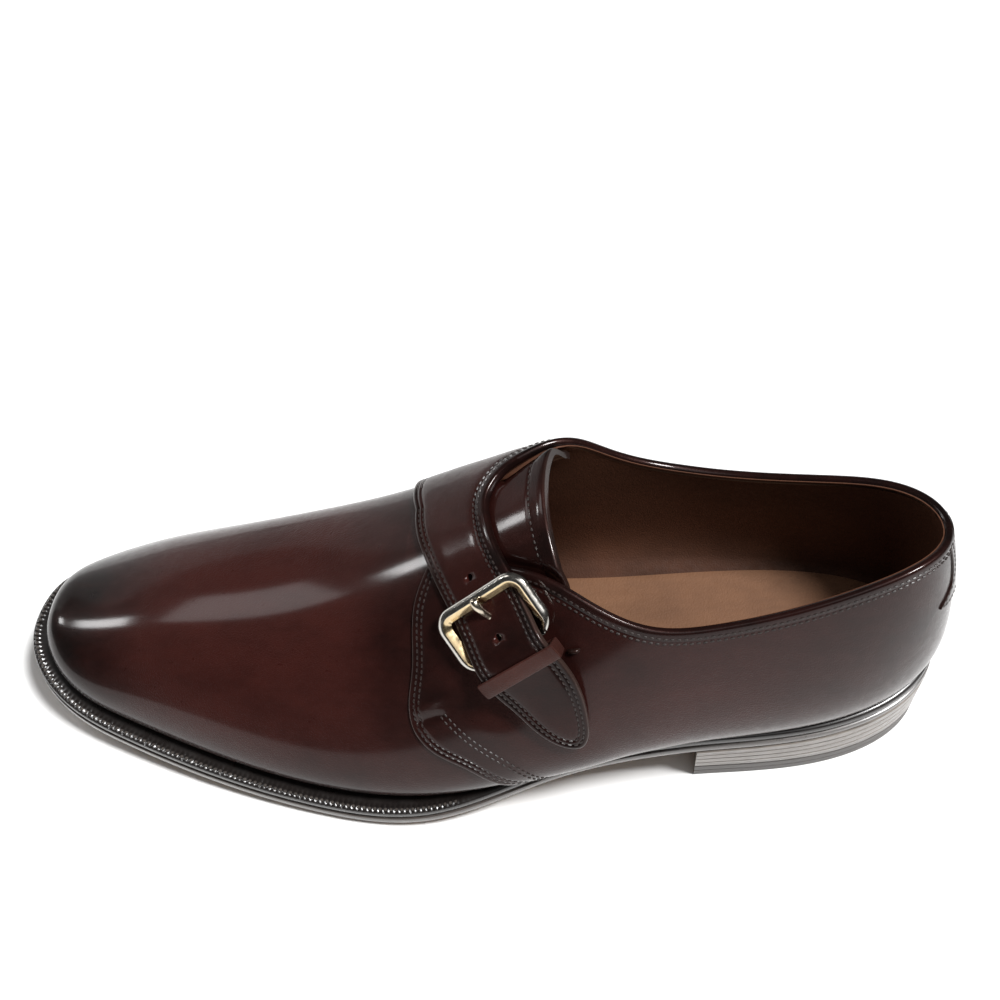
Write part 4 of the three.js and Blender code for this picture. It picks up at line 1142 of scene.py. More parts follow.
def make_medial_quarter_and_strap():
    """Medial quarter and strap, cut in one: the quarter's patch runs up over the ridge and
    its top edge is the strap's first row, so the two are welded into one leather."""
    side = 1
    t, across, depth = strap_grid()
    s_strap, g_strap = strap_place(t, across)
    level = strap_top(t, depth)
    shell = Shell()
    burnish = 0.45 + 0.5 * bump(depth, 2.6) + 0.3 * ease((t - STRAP_BASE - 30) / 20)
    point, _, _, normal = last_frame(s_strap, g_strap)
    top = point + normal * level[..., None]
    bottom = point + normal * strap_lift(t)[..., None]
    trim = 0.6 * bump(depth, 0.5)

    base = np.stack([s_strap[0], g_strap[0]], -1)
    base_level = level[0]
    edge_count = len([d for d in EDGE_COLUMNS if d < 6])
    rows = 84
    front = [(s, side * (1 - v)) for s, v in MEDIAL_FRONT] + [tuple(base[0])]
    s, g = path(front, rows)
    strips = [np.stack([s, g], -1)]
    for d in EDGE_COLUMNS[1:edge_count]:
        strips.append(np.stack(offset(s, g, d, side), -1))
    border = np.stack(strips)
    pull = ease((np.arange(rows) - rows + 16) / 15)[None, :, None]
    border = border + pull * (base[:edge_count] - border[:, -1])[:, None, :]
    extra = 84
    top_s, top_g = path([tuple(base[-1]), *MEDIAL_TOPLINE], extra)
    top_edge = np.concatenate([base[edge_count - 1:], np.stack([top_s, top_g], -1)[1:]])
    run = lengths(last_point(top_edge[:, 0], top_edge[:, 1]))
    u = run / run[-1]
    start = border[-1, 0]
    bottom_edge = np.stack([mix(start[0], LAST_STATION, u), np.full(len(u), 1.0)], -1)
    v = np.linspace(0, 1, rows)
    right = np.stack([np.full(rows, LAST_STATION), mix(1.0, MEDIAL_TOPLINE[-1][1], v)], -1)
    places = patch(bottom_edge, top_edge, border[-1], right, u, v)
    places = np.concatenate([border, places[1:]])
    ps, pg = np.clip(places[..., 0], 0, LAST_STATION), np.clip(places[..., 1], -0.2, 1)
    points = last_point(ps, pg)
    d = distance_to(points, last_point(s, g))
    d[:edge_count] = np.array(EDGE_COLUMNS[:edge_count])[:, None]
    to_strap = distance_to(points, last_point(base[:, 0], base[:, 1]))
    near_strap = ease(1 - to_strap / STRAP_ROOT_REACH)
    quarter = overlay_level(d) - edge_round(d) - stitch_grooves(d)
    quarter = quarter + crumple(points, side)
    full = np.interp(
        np.arange(len(places)), np.arange(len(base)), base_level, right=base_level[-1]
    )
    depth = np.minimum(d, distance_to(points, last_point(top_s, top_g)))
    top_level = mix(quarter, strap_top(STRAP_BASE, depth), near_strap)
    top_level[:, -1] = np.where(np.arange(len(places)) < len(base), full, top_level[:, -1])
    low_level = mix(
        np.minimum(quarter - LEATHER_THICKNESS, 0.0), float(strap_lift(STRAP_BASE)), near_strap
    )
    low_level[: len(base), -1] = strap_lift(STRAP_BASE)
    quarter_dark = quarter_burnish(points, ps, pg, d)
    quarter_dark = mix(quarter_dark, 0.45 + 0.5 * bump(depth, 2.6), near_strap)
    shell.sheet(
        on_upper(ps, pg, low_level), on_upper(ps, pg, top_level), quarter_dark,
        0.7 * bump(d, 0.4), v1_from=len(base) - 1,
    )
    shell.sheet(top, bottom, np.clip(burnish, 0, 1), trim, open_u0=True)
    piece = shell.finish(
        "medial_quarter_and_strap", finish("strap"), "upper_leather", ["upper", "strap"]
    )
    punch_holes(piece)


def punch_holes(piece):
    """Cuts the strap's round holes with short cylinders standing on its face."""
    cutters = Shell()
    turn = np.arange(20) * math.pi / 10
    for start in HOLES_FROM_UPPER_BAR:
        at = UPPER_BAR_AT + start
        s, g = strap_place(np.array([at]), np.array([0.0]))
        point, along_s, _, normal = last_frame(s, g)
        x = unit(along_s - normal * dot(along_s, normal)[:, None])[0]
        y = np.cross(normal[0], x)
        ring = HOLE_RADIUS * (np.cos(turn)[:, None] * x + np.sin(turn)[:, None] * y)
        middle = point[0] + normal[0] * float(strap_lift(at))
        rings = np.stack([ring + middle + normal[0] * h for h in (-2.0, 6.0)])
        cutters.sweep(rings)
    cutter = cutters.finish("hole_cutter", finish("strap"), "upper_leather")
    modifier = piece.modifiers.new("holes", "BOOLEAN")
    modifier.operation, modifier.solver, modifier.object = "DIFFERENCE", "EXACT", cutter
    bpy.context.view_layer.update()
    cut = bpy.data.meshes.new_from_object(
        piece.evaluated_get(bpy.context.evaluated_depsgraph_get())
    )
    piece.modifiers.clear()
    piece.data = cut
    bpy.data.objects.remove(cutter)


def tongue_level(gap):
    """Height of the tongue by its distance from the collar edge: level with the upper in
    the opening and dipping under the quarters."""
    return -TONGUE_DIP * (1 - ease((gap + 0.5) / TONGUE_DIP_OVER))


def make_tongue():
    """Tongue: level with the upper in the opening, diving under the quarters at its sides,
    with a rounded top edge."""
    u, v = np.meshgrid(np.linspace(0, 1, 70), np.linspace(0, 1, 60), indexing="ij")
    v = np.sin(v * math.pi / 2) ** 0.9
    girth = mix(TONGUE_TOP[0, 0], TONGUE_TOP[-1, 0], u)
    front = TONGUE_FRONT - 8 * (1 - (2 * u - 1) ** 2)
    back = spline(TONGUE_TOP[:, 0], TONGUE_TOP[:, 1])(girth)
    s = mix(front, back, v)
    edges = []
    for knots in (LATERAL_TOPLINE, MEDIAL_TOPLINE):
        es, eg = path(knots)
        edges.append((es, eg, last_point(es, eg)))
    points = last_point(s, girth)
    gap = np.minimum(*(distance_to(points, e[2]) for e in edges))
    lateral = np.interp(s, edges[0][0], edges[0][1])
    medial = np.interp(s, edges[1][0], edges[1][1])
    inside = (girth > lateral) & (girth < medial)
    gap = np.where(inside, gap, -gap)
    level = tongue_level(gap)
    from_top = back - s
    level = level - edge_round(from_top, 0.8) - stitch_grooves(from_top, (TONGUE_STITCH_ROW,), 0.25)
    level = level + 0.25 * bump(from_top - 1.8, 1.6)
    shell = Shell()
    point, _, _, normal = last_frame(s, girth)
    burnish = np.clip(0.62 + 0.3 * bump(from_top, 6) - 0.2 * bump(girth + 0.02, 0.08), 0, 1)
    shell.sheet(
        point + normal * level[..., None],
        point + normal * (np.minimum(level, -edge_round(from_top, 0.8)) - 1.8)[..., None],
        burnish, 0.2 * bump(from_top, 0.5),
    )
    shell.finish("tongue", finish("calf"), "upper_leather", ["tongue"])
    row = np.linspace(0.16, 0.93, 200)
    g = mix(TONGUE_TOP[0, 0], TONGUE_TOP[-1, 0], row)
    st = spline(TONGUE_TOP[:, 0], TONGUE_TOP[:, 1])(g) - TONGUE_STITCH_ROW
    point, _, _, normal = last_frame(st, g)
    gap = np.minimum(*(distance_to(point, e[2]) for e in edges))
    seen = (gap > 4.5) & (g > np.interp(st, edges[0][0], edges[0][1]))
    seen &= g < np.interp(st, edges[1][0], edges[1][1])
    level = tongue_level(gap) - 0.05
    sewing = bpy.context.scene.shoe_sewing
    beads = Shell()
    thread(
        beads, (point + normal * level[:, None])[seen], normal[seen], sewing.pitch / MM,
        sewing.width / MM, 1.25,
    )
    beads.finish("tongue_sewing", finish("thread"), "upper_leather")


def make_lining():
    """Lining: the upper's inner face from the welt to the collar edge, one thin sheet, with painted
    shade towards the foot and the toe.
    """
    shell = Shell()
    for side, knots in ((-1, LATERAL_TOPLINE), (1, MEDIAL_TOPLINE)):
        columns, rows = 110, 44
        u = np.linspace(0, 1, columns)
        throat = 0.5
        foot = np.where(
            u < throat, 152 * u / throat, mix(152.0, LAST_STATION, (u - throat) / (1 - throat))
        )
        knots = [(152, side * 1e-6), (157, side * 0.05), *knots]
        top_s, top_g = path(knots[:1] + knots[2:] if side < 0 else knots, columns)
        k = (columns - 1) * np.clip((u - throat) / (1 - throat), 0, 1)
        edge_s = np.where(u < throat, foot, np.interp(k, np.arange(columns), top_s))
        edge_g = np.where(u < throat, side * 1e-6, np.interp(k, np.arange(columns), top_g))
        v = np.linspace(0, 1, rows)
        v = v + 0.45 * v * (1 - v)
        s = mix(foot[:, None], edge_s[:, None], ease(v)[None])
        g = mix(float(side), edge_g[:, None], v[None])
        outer = on_upper(s, g, 0.75 - UPPER_WALL)
        inner = on_upper(s, g, -UPPER_WALL)
        # Painted shade inside the shoe: the share darkens the lining towards the foot and towards
        # the toe, over a flat tone of 0.25.
        foot_painted_shade = 0.6 * (1 - ease((1 - np.abs(g)) / 0.35))
        burnish = 0.25 + foot_painted_shade + 0.3 * (1 - ease((s - 150) / 40))
        faces = (outer, inner) if side < 0 else (inner, outer)
        shell.sheet(*faces, np.clip(burnish, 0, 1))
    shell.finish("lining", finish("lining"), "lining_leather", ["upper"])


def rim_band(knots, start_strap, count):
    """Places and levels of the collar rim's line, from the strap's rear edge or from under
    the strap, to the heel seam."""
    s1, g1 = path(knots, count)
    if not start_strap:
        return s1, g1, np.full(count, OVERLAY_THINNED)
    t = np.linspace(UPPER_BAR_AT - 1.5, STRAP_BASE, 60)
    s0, g0 = strap_place(t, strap_heelward(t))
    level0 = strap_lift(t) + strap_thick(t)
    place = np.concatenate([np.stack([s0, g0], -1), np.stack([s1, g1], -1)[2:]])
    levels = np.concatenate([level0, np.zeros(count - 2)])
    points = last_point(place[:, 0], place[:, 1])
    run = lengths(points)
    past = run - run[59]
    top = strap_lift(STRAP_BASE) + strap_thick(STRAP_BASE)
    eased = mix(float(top), OVERLAY_THINNED, ease(past / STRAP_ROOT_REACH))
    levels = np.where(past > 0, eased, levels)
    even = np.linspace(0, run[-1], count + 60)
    columns = [np.interp(even, run, column) for column in (place[:, 0], place[:, 1], levels)]
    return (rounded(column, int(7 / (even[1] - even[0]))) for column in columns)


def rounded(values, reach):
    """Row of values with its corners rounded: each is a bell-weighted mean of the values
    within reach, and the ends stay."""
    weights = bump(np.arange(-reach, reach + 1) / reach, 0.5)
    low, high = 2 * values[0] - values[reach:0:-1], 2 * values[-1] - values[-2:-reach - 2:-1]
    return np.convolve(np.concatenate([low, values, high]), weights / weights.sum(), "valid")


def make_topline():
    """Bound rim: a folded leather bead carried along the strap's rear edge and the collar.
    Its profile is set by distance below the edge and height above the leather."""
    profile = np.array([
        [3.1, -0.10], [3.0, 0.22], [2.5, 0.34], [1.4, 0.42], [0.6, 0.48], [0.0, 0.34],
        [-0.42, -0.10], [-0.55, -0.75], [-0.45, -1.5], [0.0, -2.05], [0.9, -2.35],
        [1.8, -2.35], [1.8, -1.9], [1.6, -0.3],
    ])
    shell, beads = Shell(), Shell()
    sewing = bpy.context.scene.shoe_sewing
    for side, knots in ((-1, LATERAL_TOPLINE), (1, MEDIAL_TOPLINE)):
        s, g, level = rim_band(knots, side > 0, 260)
        point, _, _, normal = last_frame(s, g)
        tangent = unit(np.gradient(point, axis=0))
        heading = side * np.cross(normal, tangent)
        rings = []
        for down, up in profile:
            a, b = walk(s, g, heading, np.full(len(s), down))
            q, _, _, n = last_frame(np.minimum(a, LAST_STATION), b)
            thick = np.where(up < -0.2, up - 0.25 * (level - OVERLAY_THINNED), up)
            ring = q + n * (level + thick)[:, None]
            ring[-1, 1] = 0.0
            rings.append(ring)
        shell.sweep(np.stack(rings[:: -side], 1), burnish=0.85)
        for row in RIM_STITCH_ROWS:
            a, b = walk(s, g, heading, np.full(len(s), row))
            a = np.minimum(a, LAST_STATION)
            q, _, _, n = last_frame(a, b)
            line = q + n * (level + (0.40 if row < 3 else 0.06))[:, None]
            thread(beads, line, n, sewing.pitch / MM, sewing.width / MM)
    shell.finish("topline_rim", finish("calf"), "upper_leather")
    beads.finish("topline_sewing", finish("thread"), "upper_leather")


def make_back_strip():
    """Back strip: a narrow overlay down the heel seam that flares into a fishtail foot. Its
    half width follows the table; columns run round the heel, rows down the seam."""
    width = spline(np.arange(len(BACK_STRIP)), BACK_STRIP[:, 1])
    height = spline(np.arange(len(BACK_STRIP)), BACK_STRIP[:, 0])
    row = np.linspace(0, len(BACK_STRIP) - 1, 60)
    shell, beads = Shell(), Shell()
    sewing = bpy.context.scene.shoe_sewing
    share = np.sin(np.linspace(0, 1, 22) * math.pi / 2)
    for side in (-1, 1):
        v = height(row)
        half = np.maximum(width(row), 0.2)
        s0 = np.full((len(row), len(share)), LAST_STATION - 0.02)
        g0 = np.broadcast_to((side * (1 - v))[:, None], s0.shape)
        heading = np.zeros(s0.shape + (3,))
        heading[..., 1] = side
        reach = half[:, None] * share[None]
        s, g = walk(s0, g0, heading, reach)
        s[:, 0] = LAST_STATION
        g[:, 0] = g0[:, 0]
        to_foot = 26 * np.linspace(1, 0, len(row))
        d = np.minimum(half[:, None] - reach, to_foot[:, None])
        level = 0.85 - edge_round(d, 0.35) - stitch_grooves(d, (1.6,), 0.15)
        point, _, _, normal = last_frame(s, g)
        top, bottom = point + normal * level[..., None], point + normal * 0.1
        top[:, 0, 1] = bottom[:, 0, 1] = 0.0
        faces = (top, bottom) if side < 0 else (bottom, top)
        shell.sheet(*faces, 0.8, 0.2 * bump(d, 0.3))
        line_reach = np.maximum(half - 1.6, 0)
        ls, lg = walk(s0[:, 0], g0[:, 0], heading[:, 0], line_reach)
        keep = np.arange(len(row)) < len(row) - 8
        q, _, _, n = last_frame(ls, lg)
        line = (q + n * 0.78)[keep]
        thread(beads, line, n[keep], sewing.pitch / MM, sewing.width / MM, 1.25)
    shell.finish("back_strip", finish("calf"), "upper_leather")
    v = np.linspace(0.05, 0.43, 60)
    q, _, _, n = last_frame(np.full(60, LAST_STATION - 0.02), -(1 - v))
    thread(beads, q + n * 0.32, n, 2.2, 0.5, 1.9, 0.4)
    beads.finish("back_strip_sewing", finish("thread"), "upper_leather")


def make_upper_sewing():
    """Double rows of sewing behind the quarters' front edges, along the strap and on the
    second line where vamp and quarter are caught together."""
    sewing = bpy.context.scene.shoe_sewing
    pitch, width = sewing.pitch / MM, sewing.width / MM
    quarters, strap = Shell(), Shell()
    for side, rows, second in (
        (-1, LATERAL_FRONT, LATERAL_SECOND_ROW), (1, MEDIAL_FRONT, MEDIAL_SECOND_ROW),
    ):
        s, g = front_path(rows, side, 300)
        line = last_point(s, g)
        for distance in STITCH_ROWS:
            a, b = offset(s, g, distance, side)
            seen = np.abs(b) < 0.93
            q, _, _, n = last_frame(a, b)
            level = OVERLAY + crumple(q, side) - 0.10
            if side > 0:
                base_s, base_g = strap_place(
                    np.full(9, STRAP_BASE), np.linspace(-12.4, 12.4, 9)
                )
                to_strap = distance_to(q, last_point(base_s, base_g))
                near = ease(1 - to_strap / STRAP_ROOT_REACH)
                level = mix(level, strap_lift(STRAP_BASE) + strap_thick(STRAP_BASE) - 0.12, near)
            thread(quarters, (q + n * level[:, None])[seen], n[seen], pitch, width)
        s, g = front_path(second, side, 200)
        for distance in (0.0, 1.7):
            a, b = offset(s, g, distance, side) if distance else (s, g)
            q, _, _, n = last_frame(a, b)
            d = distance_to(q, line)
            level = overlay_level(d) + crumple(q, side) + 0.06
            seen = np.abs(b) < 0.95
            thread(quarters, (q + n * level[:, None])[seen], n[seen], pitch, width)
    quarters.finish("quarter_sewing", finish("thread"), "upper_leather")
    t, across, depth = strap_grid()
    for row in STITCH_ROWS:
        columns = [k for k in range(depth.shape[1]) if abs(depth[0, k] - row) < 1e-6]
        lines = []
        for k in columns:
            s, g = strap_place(t[:, k], across[:, k])
            q, _, _, n = last_frame(s, g)
            level = strap_top(t[:, k], depth[:, k]) + 0.12
            lines.append((q + n * level[:, None], n))
        points = np.concatenate([lines[0][0], lines[1][0][::-1][1:]])
        normals = np.concatenate([lines[0][1], lines[1][1][::-1][1:]])
        thread(strap, points, normals, pitch, width)
    strap.finish("strap_sewing", finish("thread"), "upper_leather")


# ------------------------------------------------------------------ buckle


def buckle_axes():
    """Origin and axes of the buckle: y from the upper bar to the pivot, x across, z out."""
    top = strap_point([UPPER_BAR_AT], [0.0], [UPPER_BAR_LEVEL])[0]
    pivot = strap_point([PIVOT_AT], [0.0], [PIVOT_LEVEL])[0]
    y = unit(pivot - top)
    middle = (UPPER_BAR_AT + PIVOT_AT) / 2
    ends = strap_point([middle] * 2, [8.0, -8.0], [0.0] * 2)
    across = ends[0] - ends[1]
    x = unit(across - y * dot(across, y))
    z = np.cross(x, y)
    z = -z if z[1] > 0 else z
    return top, x, y, z, float(np.linalg.norm(pivot - top))


BUCKLE_ORIGIN, BUCKLE_X, BUCKLE_Y, BUCKLE_Z, PIVOT_Y = buckle_axes()


def buckle_point(x, y, z):
    """Point in the buckle's own axes."""
    x, y, z = np.broadcast_arrays(*(np.asarray(a, float) for a in (x, y, z)))
    return (
        BUCKLE_ORIGIN + x[..., None] * BUCKLE_X + y[..., None] * BUCKLE_Y + z[..., None] * BUCKLE_Z
    )


def make_buckle_frame():
    """Buckle frame: a bar profile, round outside with a slanting inner bevel, carried round
    a rounded rectangle, and thinning into the round pivot bar."""
    half, radius, corner, straight = SIDE_BAR_SPACING / 2, 4.0, 14, 22
    centres = [
        (half - radius, radius, -90), (half - radius, PIVOT_Y - radius, 0),
        (radius - half, PIVOT_Y - radius, 90), (radius - half, radius, 180),
    ]
    line, outward = [], []
    for k, (cx, cy, start) in enumerate(centres):
        angle = np.radians(start + np.linspace(0, 90, corner))
        out = np.stack([np.cos(angle), np.sin(angle)], -1)
        here = np.array([cx, cy]) + radius * out
        nx, ny, ahead = centres[(k + 1) % 4]
        there = np.array([nx, ny]) + radius * np.array(
            [math.cos(math.radians(ahead)), math.sin(math.radians(ahead))]
        )
        share = np.linspace(0, 1, straight)[1:-1, None]
        line += [here, here[-1] + (there - here[-1]) * share]
        outward += [out, np.repeat(out[-1:], straight - 2, 0)]
    line, outward = np.concatenate(line), np.concatenate(outward)
    profile = np.array([
        [-2.1, -1.15], [-2.1, -0.25], [-1.5, 0.28], [-0.7, 0.95], [-0.15, 1.34], [0.15, 1.42],
        [0.7, 1.34], [1.25, 1.08], [1.68, 0.68], [1.95, 0.2], [2.08, -0.3], [2.0, -0.8],
        [1.7, -1.2], [1.2, -1.38], [-1.6, -1.38],
    ])
    angle = np.linspace(math.radians(205), math.radians(205 - 360), len(profile), endpoint=False)
    round_bar = PIVOT_RADIUS * np.stack([np.cos(angle), np.sin(angle)], -1)
    slim = ease((line[:, 1] - PIVOT_Y + 5) / 4.5)[:, None, None]
    shape = mix(profile[None], round_bar[None], slim)
    across, height = shape[..., 0], shape[..., 1]
    rings = buckle_point(
        line[:, None, 0] + outward[:, None, 0] * across,
        line[:, None, 1] + outward[:, None, 1] * across, height,
    )
    golden = np.zeros(len(profile))
    golden[:5] = 1.0
    shell = Shell()
    shell.sweep(rings, closed_path=True, trim=golden[None] + 0 * across)
    shell.finish("buckle_frame_polished", finish("buckle"), "buckle_metal", ["buckle_frame"], 30.0)


def pivot_loop(shell, x0, x1, outer, count=32, inner=PIVOT_RADIUS + 0.08, burnish=0.0):
    """Ring round the pivot bar with softened corners."""
    angle = np.arange(count) * 2 * math.pi / count
    soft = min(0.35, (outer - inner) / 3)
    corners = [
        (x0, inner + soft), (x0, outer - soft), (x0 + soft, outer), (x1 - soft, outer),
        (x1, outer - soft), (x1, inner + soft), (x1 - soft, inner), (x0 + soft, inner),
    ]
    rings = np.stack([
        buckle_point(x, PIVOT_Y + r * np.cos(angle), r * np.sin(angle)) for x, r in corners
    ], 1)
    shell.sweep(rings, closed_path=True, burnish=burnish)


def make_prong():
    """Prong: round rod from its loop on the pivot, up through the strap's hole and over the
    upper bar, ending in a rounded knob."""
    rows = np.array([
        [PIVOT_Y - 1.7, -0.6, 0.95], [PIVOT_Y - 4.5, -1.0, 1.0], [8.0, -1.0, 1.05],
        [5.7, -0.2, 1.08], [4.1, 1.15, 1.12], [2.7, 2.05, 1.2], [1.4, 2.45, 1.35],
        [0.5, 2.4, 1.42],
    ])
    knots = np.arange(len(rows))
    t = np.linspace(0, len(rows) - 1, 64)
    y, z, radius = (spline(knots, rows[:, i])(t) for i in range(3))
    slope = unit(np.stack([np.gradient(y), np.gradient(z)], -1))
    round_end = np.linspace(0, 1, 9)[1:] * math.pi / 2
    y = np.concatenate([y, y[-1] + slope[-1, 0] * radius[-1] * np.sin(round_end)])
    z = np.concatenate([z, z[-1] + slope[-1, 1] * radius[-1] * np.sin(round_end)])
    radius = np.concatenate([radius, np.maximum(radius[-1] * np.cos(round_end), 0.02)])
    slope = np.concatenate([slope, np.repeat(slope[-1:], 8, 0)])
    turn = np.arange(18) * math.pi / 9
    lift = radius[:, None] * np.sin(turn)
    rings = buckle_point(
        radius[:, None] * np.cos(turn), y[:, None] - lift * slope[:, None, 1],
        z[:, None] + lift * slope[:, None, 0],
    )
    shell = Shell()
    shell.sweep(rings, trim=0.35)
    pivot_loop(shell, -1.3, 1.3, 2.2)
    shell.finish("buckle_prong_polished", finish("buckle"), "buckle_metal", ["buckle_prong"])


def make_chape():
    """Chape: a leather tab under the strap, folded round the pivot on both sides of the
    prong."""
    shell = Shell()
    u, v = np.meshgrid(np.linspace(0, 1, 30), np.linspace(-1, 1, 26), indexing="ij")
    t = PIVOT_AT + 1.0 + u * CHAPE_LENGTH
    inside = CHAPE_WIDTH / 2 * (1 - np.abs(v))
    top = CHAPE_LEVEL + 1.0 - edge_round(inside, 0.35) - stitch_grooves(inside, (1.4,), 0.12)
    across = v * CHAPE_WIDTH / 2
    shell.sheet(
        strap_point(t, across, top), strap_point(t, across, 0 * t + CHAPE_LEVEL - 0.6), 0.8
    )
    pivot_loop(shell, 1.6, CHAPE_WIDTH / 2, 2.15, burnish=0.75)
    pivot_loop(shell, -CHAPE_WIDTH / 2, -1.6, 2.15, burnish=0.75)
    shell.finish("buckle_chape_leather", finish("strap"), "upper_leather", ["buckle_chape"])


def make_keeper():
    """Keeper: a leather loop round strap and chape. Its section is a rounded bar carried
    round a rounded rectangle across the strap."""
    half = float(strap_toeward(KEEPER_AT)) + 0.45
    per_side = 16
    share = np.linspace(-1, 1, per_side, endpoint=False)
    one = np.ones(per_side)
    square = np.concatenate([
        np.stack([share, -one], -1), np.stack([one, share], -1),
        np.stack([-share, one], -1), np.stack([-one, -share], -1),
    ])
    corner = np.abs(square).min(axis=1) > 0.86
    square = np.where(corner[:, None], square * [0.985, 0.93], square)
    length, thick = KEEPER_LENGTH / 2, KEEPER_THICKNESS
    profile = np.array([
        [-length + 0.3, 0], [length - 0.3, 0], [length, 0.25], [length, 0.75],
        [length - 0.35, 1], [0, 1.06], [-length + 0.35, 1], [-length, 0.75], [-length, 0.25],
    ])
    t = KEEPER_AT + profile[:, 0][None] + 0 * square[:, :1]
    shellness = profile[:, 1][None]
    across = square[:, :1] * (half + thick * shellness)
    low = KEEPER_LEVEL + thick * (1 - shellness) - 0.9
    high = strap_lift(t) + strap_thick(t) + 0.35 + thick * shellness
    rings = strap_point(t, across, mix(low, high, (square[:, 1:] + 1) / 2))
    shell = Shell()
    warm = np.broadcast_to(np.abs(square[:, :1]) * 0.35, t.shape)
    shell.sweep(rings, closed_path=True, burnish=warm)
    shell.finish("keeper_loop", finish("keeper"), "upper_leather", ["keeper"])
    nub = Shell()
    k = np.linspace(0, 1, 26)
    centre = strap_point(
        KEEPER_AT + 3.5 + 1.4 * k, half + 0.6 + 3.6 * k, 0.3 + 1.1 * np.sin(k * math.pi)
    )
    radius = 0.8 * np.sqrt(np.clip(1 - (2 * np.abs(k - 0.45)) ** 4, 0.02, 1))
    along = unit(np.gradient(centre, axis=0))
    side = unit(np.cross(along, [0.0, 0.0, 1.0]))
    out = np.cross(side, along)
    turn = np.arange(12) * math.pi / 6
    rings = (
        centre[:, None] + side[:, None] * (radius[:, None] * np.cos(turn))[..., None]
        + out[:, None] * (0.7 * radius[:, None] * np.sin(turn))[..., None]
    )
    nub.sweep(rings, burnish=1.0)
    nub.finish("keeper_end", finish("keeper"), "upper_leather")


# ------------------------------------------------------------------ bottom of the shoe


def outline(s, side, out):
    """Plan point standing out from the feather edge by an amount."""
    return feather_point(s, side) + feather_outward(s, side) * np.asarray(out, float)[..., None]


def welt_top(x):
    """Height of the welt's ledge, just under the seat."""
    return seat_height(x) - WELT_GAP


def outsole_top(x):
    """Height of the outsole's upper face, just under the welt."""
    return welt_top(x) - WELT_THICKNESS - WELT_GAP


def outsole_bottom(x, r):
    """Underside of the sole: crowned across, and flat where it meets the floor."""
    tread = ease((x - 10) / 60) * ease((190 - x) / 50)
    crowned = outsole_top(x) - OUTSOLE_THICKNESS - TREAD_CROWN * tread * (1 - r * r)
    return np.maximum(0, crowned)


def around_shoe(count):
    """Stations and sides for evenly spaced rings round the whole shoe."""
    s = np.linspace(0, LAST_STATION, 4000)
    ring_s, ring_side = [], []
    for side, order in ((-1, 1), (1, -1)):
        run = lengths(outline(s, np.full(4000, side), MARGIN[side](s)))
        even = np.interp(np.linspace(0, run[-1], count), run, s)[::order]
        ring_s.append(even[:-1])
        ring_side.append(np.full(count - 1, float(side)))
    return np.concatenate(ring_s), np.concatenate(ring_side)


def margin_at(s, side):
    """How far welt and sole stand out from the feather edge."""
    return np.where(side < 0, MARGIN[-1](s), MARGIN[1](s))


def make_welt():
    """Welt: a flat strip with a raised rim, notched by the wheel. Its profile is set out
    from its outer edge, and the notches are a wave along the edge that fades at the waist."""
    s, side = around_shoe(1050)
    margin = margin_at(s, side)
    edge = outline(s, side, margin)
    run = lengths(edge)
    pitch = bpy.context.scene.shoe_sewing.wheel_pitch / MM
    wave = np.abs(np.sin(math.pi * run / pitch)) ** 0.7
    depth = 0.55 * (1 - ease((s - 150) / 14))
    profile = [
        (None, -WELT_THICKNESS, 0), (None, 0.0, 0), (-4.2, 0.0, 0), (-3.1, 0.02, 0),
        (-2.75, 0.34, 1), (-2.1, 0.52, 1), (-1.4, 0.50, 1), (-0.85, 0.26, 0.8), (-0.55, 0.0, 0.2),
        (-0.35, -0.4, 0), (-0.3, -1.4, 0), (-0.45, -2.3, 0), (-0.8, -WELT_THICKNESS, 0),
    ]
    rings, trims = [], []
    for inset, height, notch in profile:
        out = np.full(len(s), -7.0) if inset is None else margin + inset
        out = np.maximum(out, -7.0)
        point = outline(s, side, out)
        z = welt_top(edge[:, 0]) + height - notch * depth * (1 - wave)
        rings.append(np.concatenate([point, z[:, None]], -1))
        trims.append(np.full(len(s), float(notch > 0.5)))
    shell = Shell()
    shell.sweep(np.stack(rings, 1), closed_path=True, trim=np.stack(trims, 1))
    shell.finish("welt_wheeled", finish("welt"), "sole_leather", ["welt"], 50.0)
    beads = Shell()
    for turn in (-1, 1):
        mine = side == turn
        front = mine & (s < 158)
        point = outline(s[front], side[front], margin[front] - 1.75)
        z = welt_top(edge[front, 0]) + 0.42
        line = np.concatenate([point, z[:, None]], -1)
        up = np.zeros_like(line)
        up[:, 2] = 1.0
        thread(beads, line, up, pitch, 1.15, pitch * 0.6, 0.7)
    beads.finish("welt_sewing", finish("welt_thread"), "sole_leather")


def plate(name, material, slot, replaced, rim, top, bottom, taken):
    """Plate on the shoe's outline: for each side, one profile from the middle line out
    along the bottom, round the rim and back along the top. Rim rows are (inset, height)
    from the top edge."""
    shell = Shell()
    s = np.linspace(0, LAST_STATION, 240)
    end = float(section_plane(LAST_STATION)[0])
    shares = np.linspace(0, 1, 12)
    for side in (-1.0, 1.0):
        flat = np.full(len(s), side)
        rows = []

        def row(inset, r, height):
            """Points at a share of the way from the middle line to the edge."""
            edge = outline(s, flat, taken(s, flat) - inset)
            spine = mix(SPINE_START, end, section_plane(s)[0] / end)
            x, y = mix(spine, edge[:, 0], r), edge[:, 1] * r
            return np.stack([x, y, height(x, r)], -1)

        for r in shares:
            rows.append(row(rim[-1][0], r, bottom))
        for inset, drop in reversed(rim[1:-1]):
            rows.append(row(inset, 1.0, lambda x, r: top(x) - drop))
        for r in shares[::-1]:
            rows.append(row(rim[0][0], r, lambda x, r: top(x)))
        grid = np.stack(rows, 1)
        index = np.arange(grid.shape[0] * grid.shape[1]).reshape(grid.shape[:2])
        here, right = index[:-1, :-1], index[1:, :-1]
        quads = np.stack([here, right, right + 1, here + 1], -1).reshape(-1, 4)
        if side > 0:
            quads = quads[:, ::-1]
        shell.add(grid, quads, 0.2)
    return shell.finish(name, material, slot, replaced)


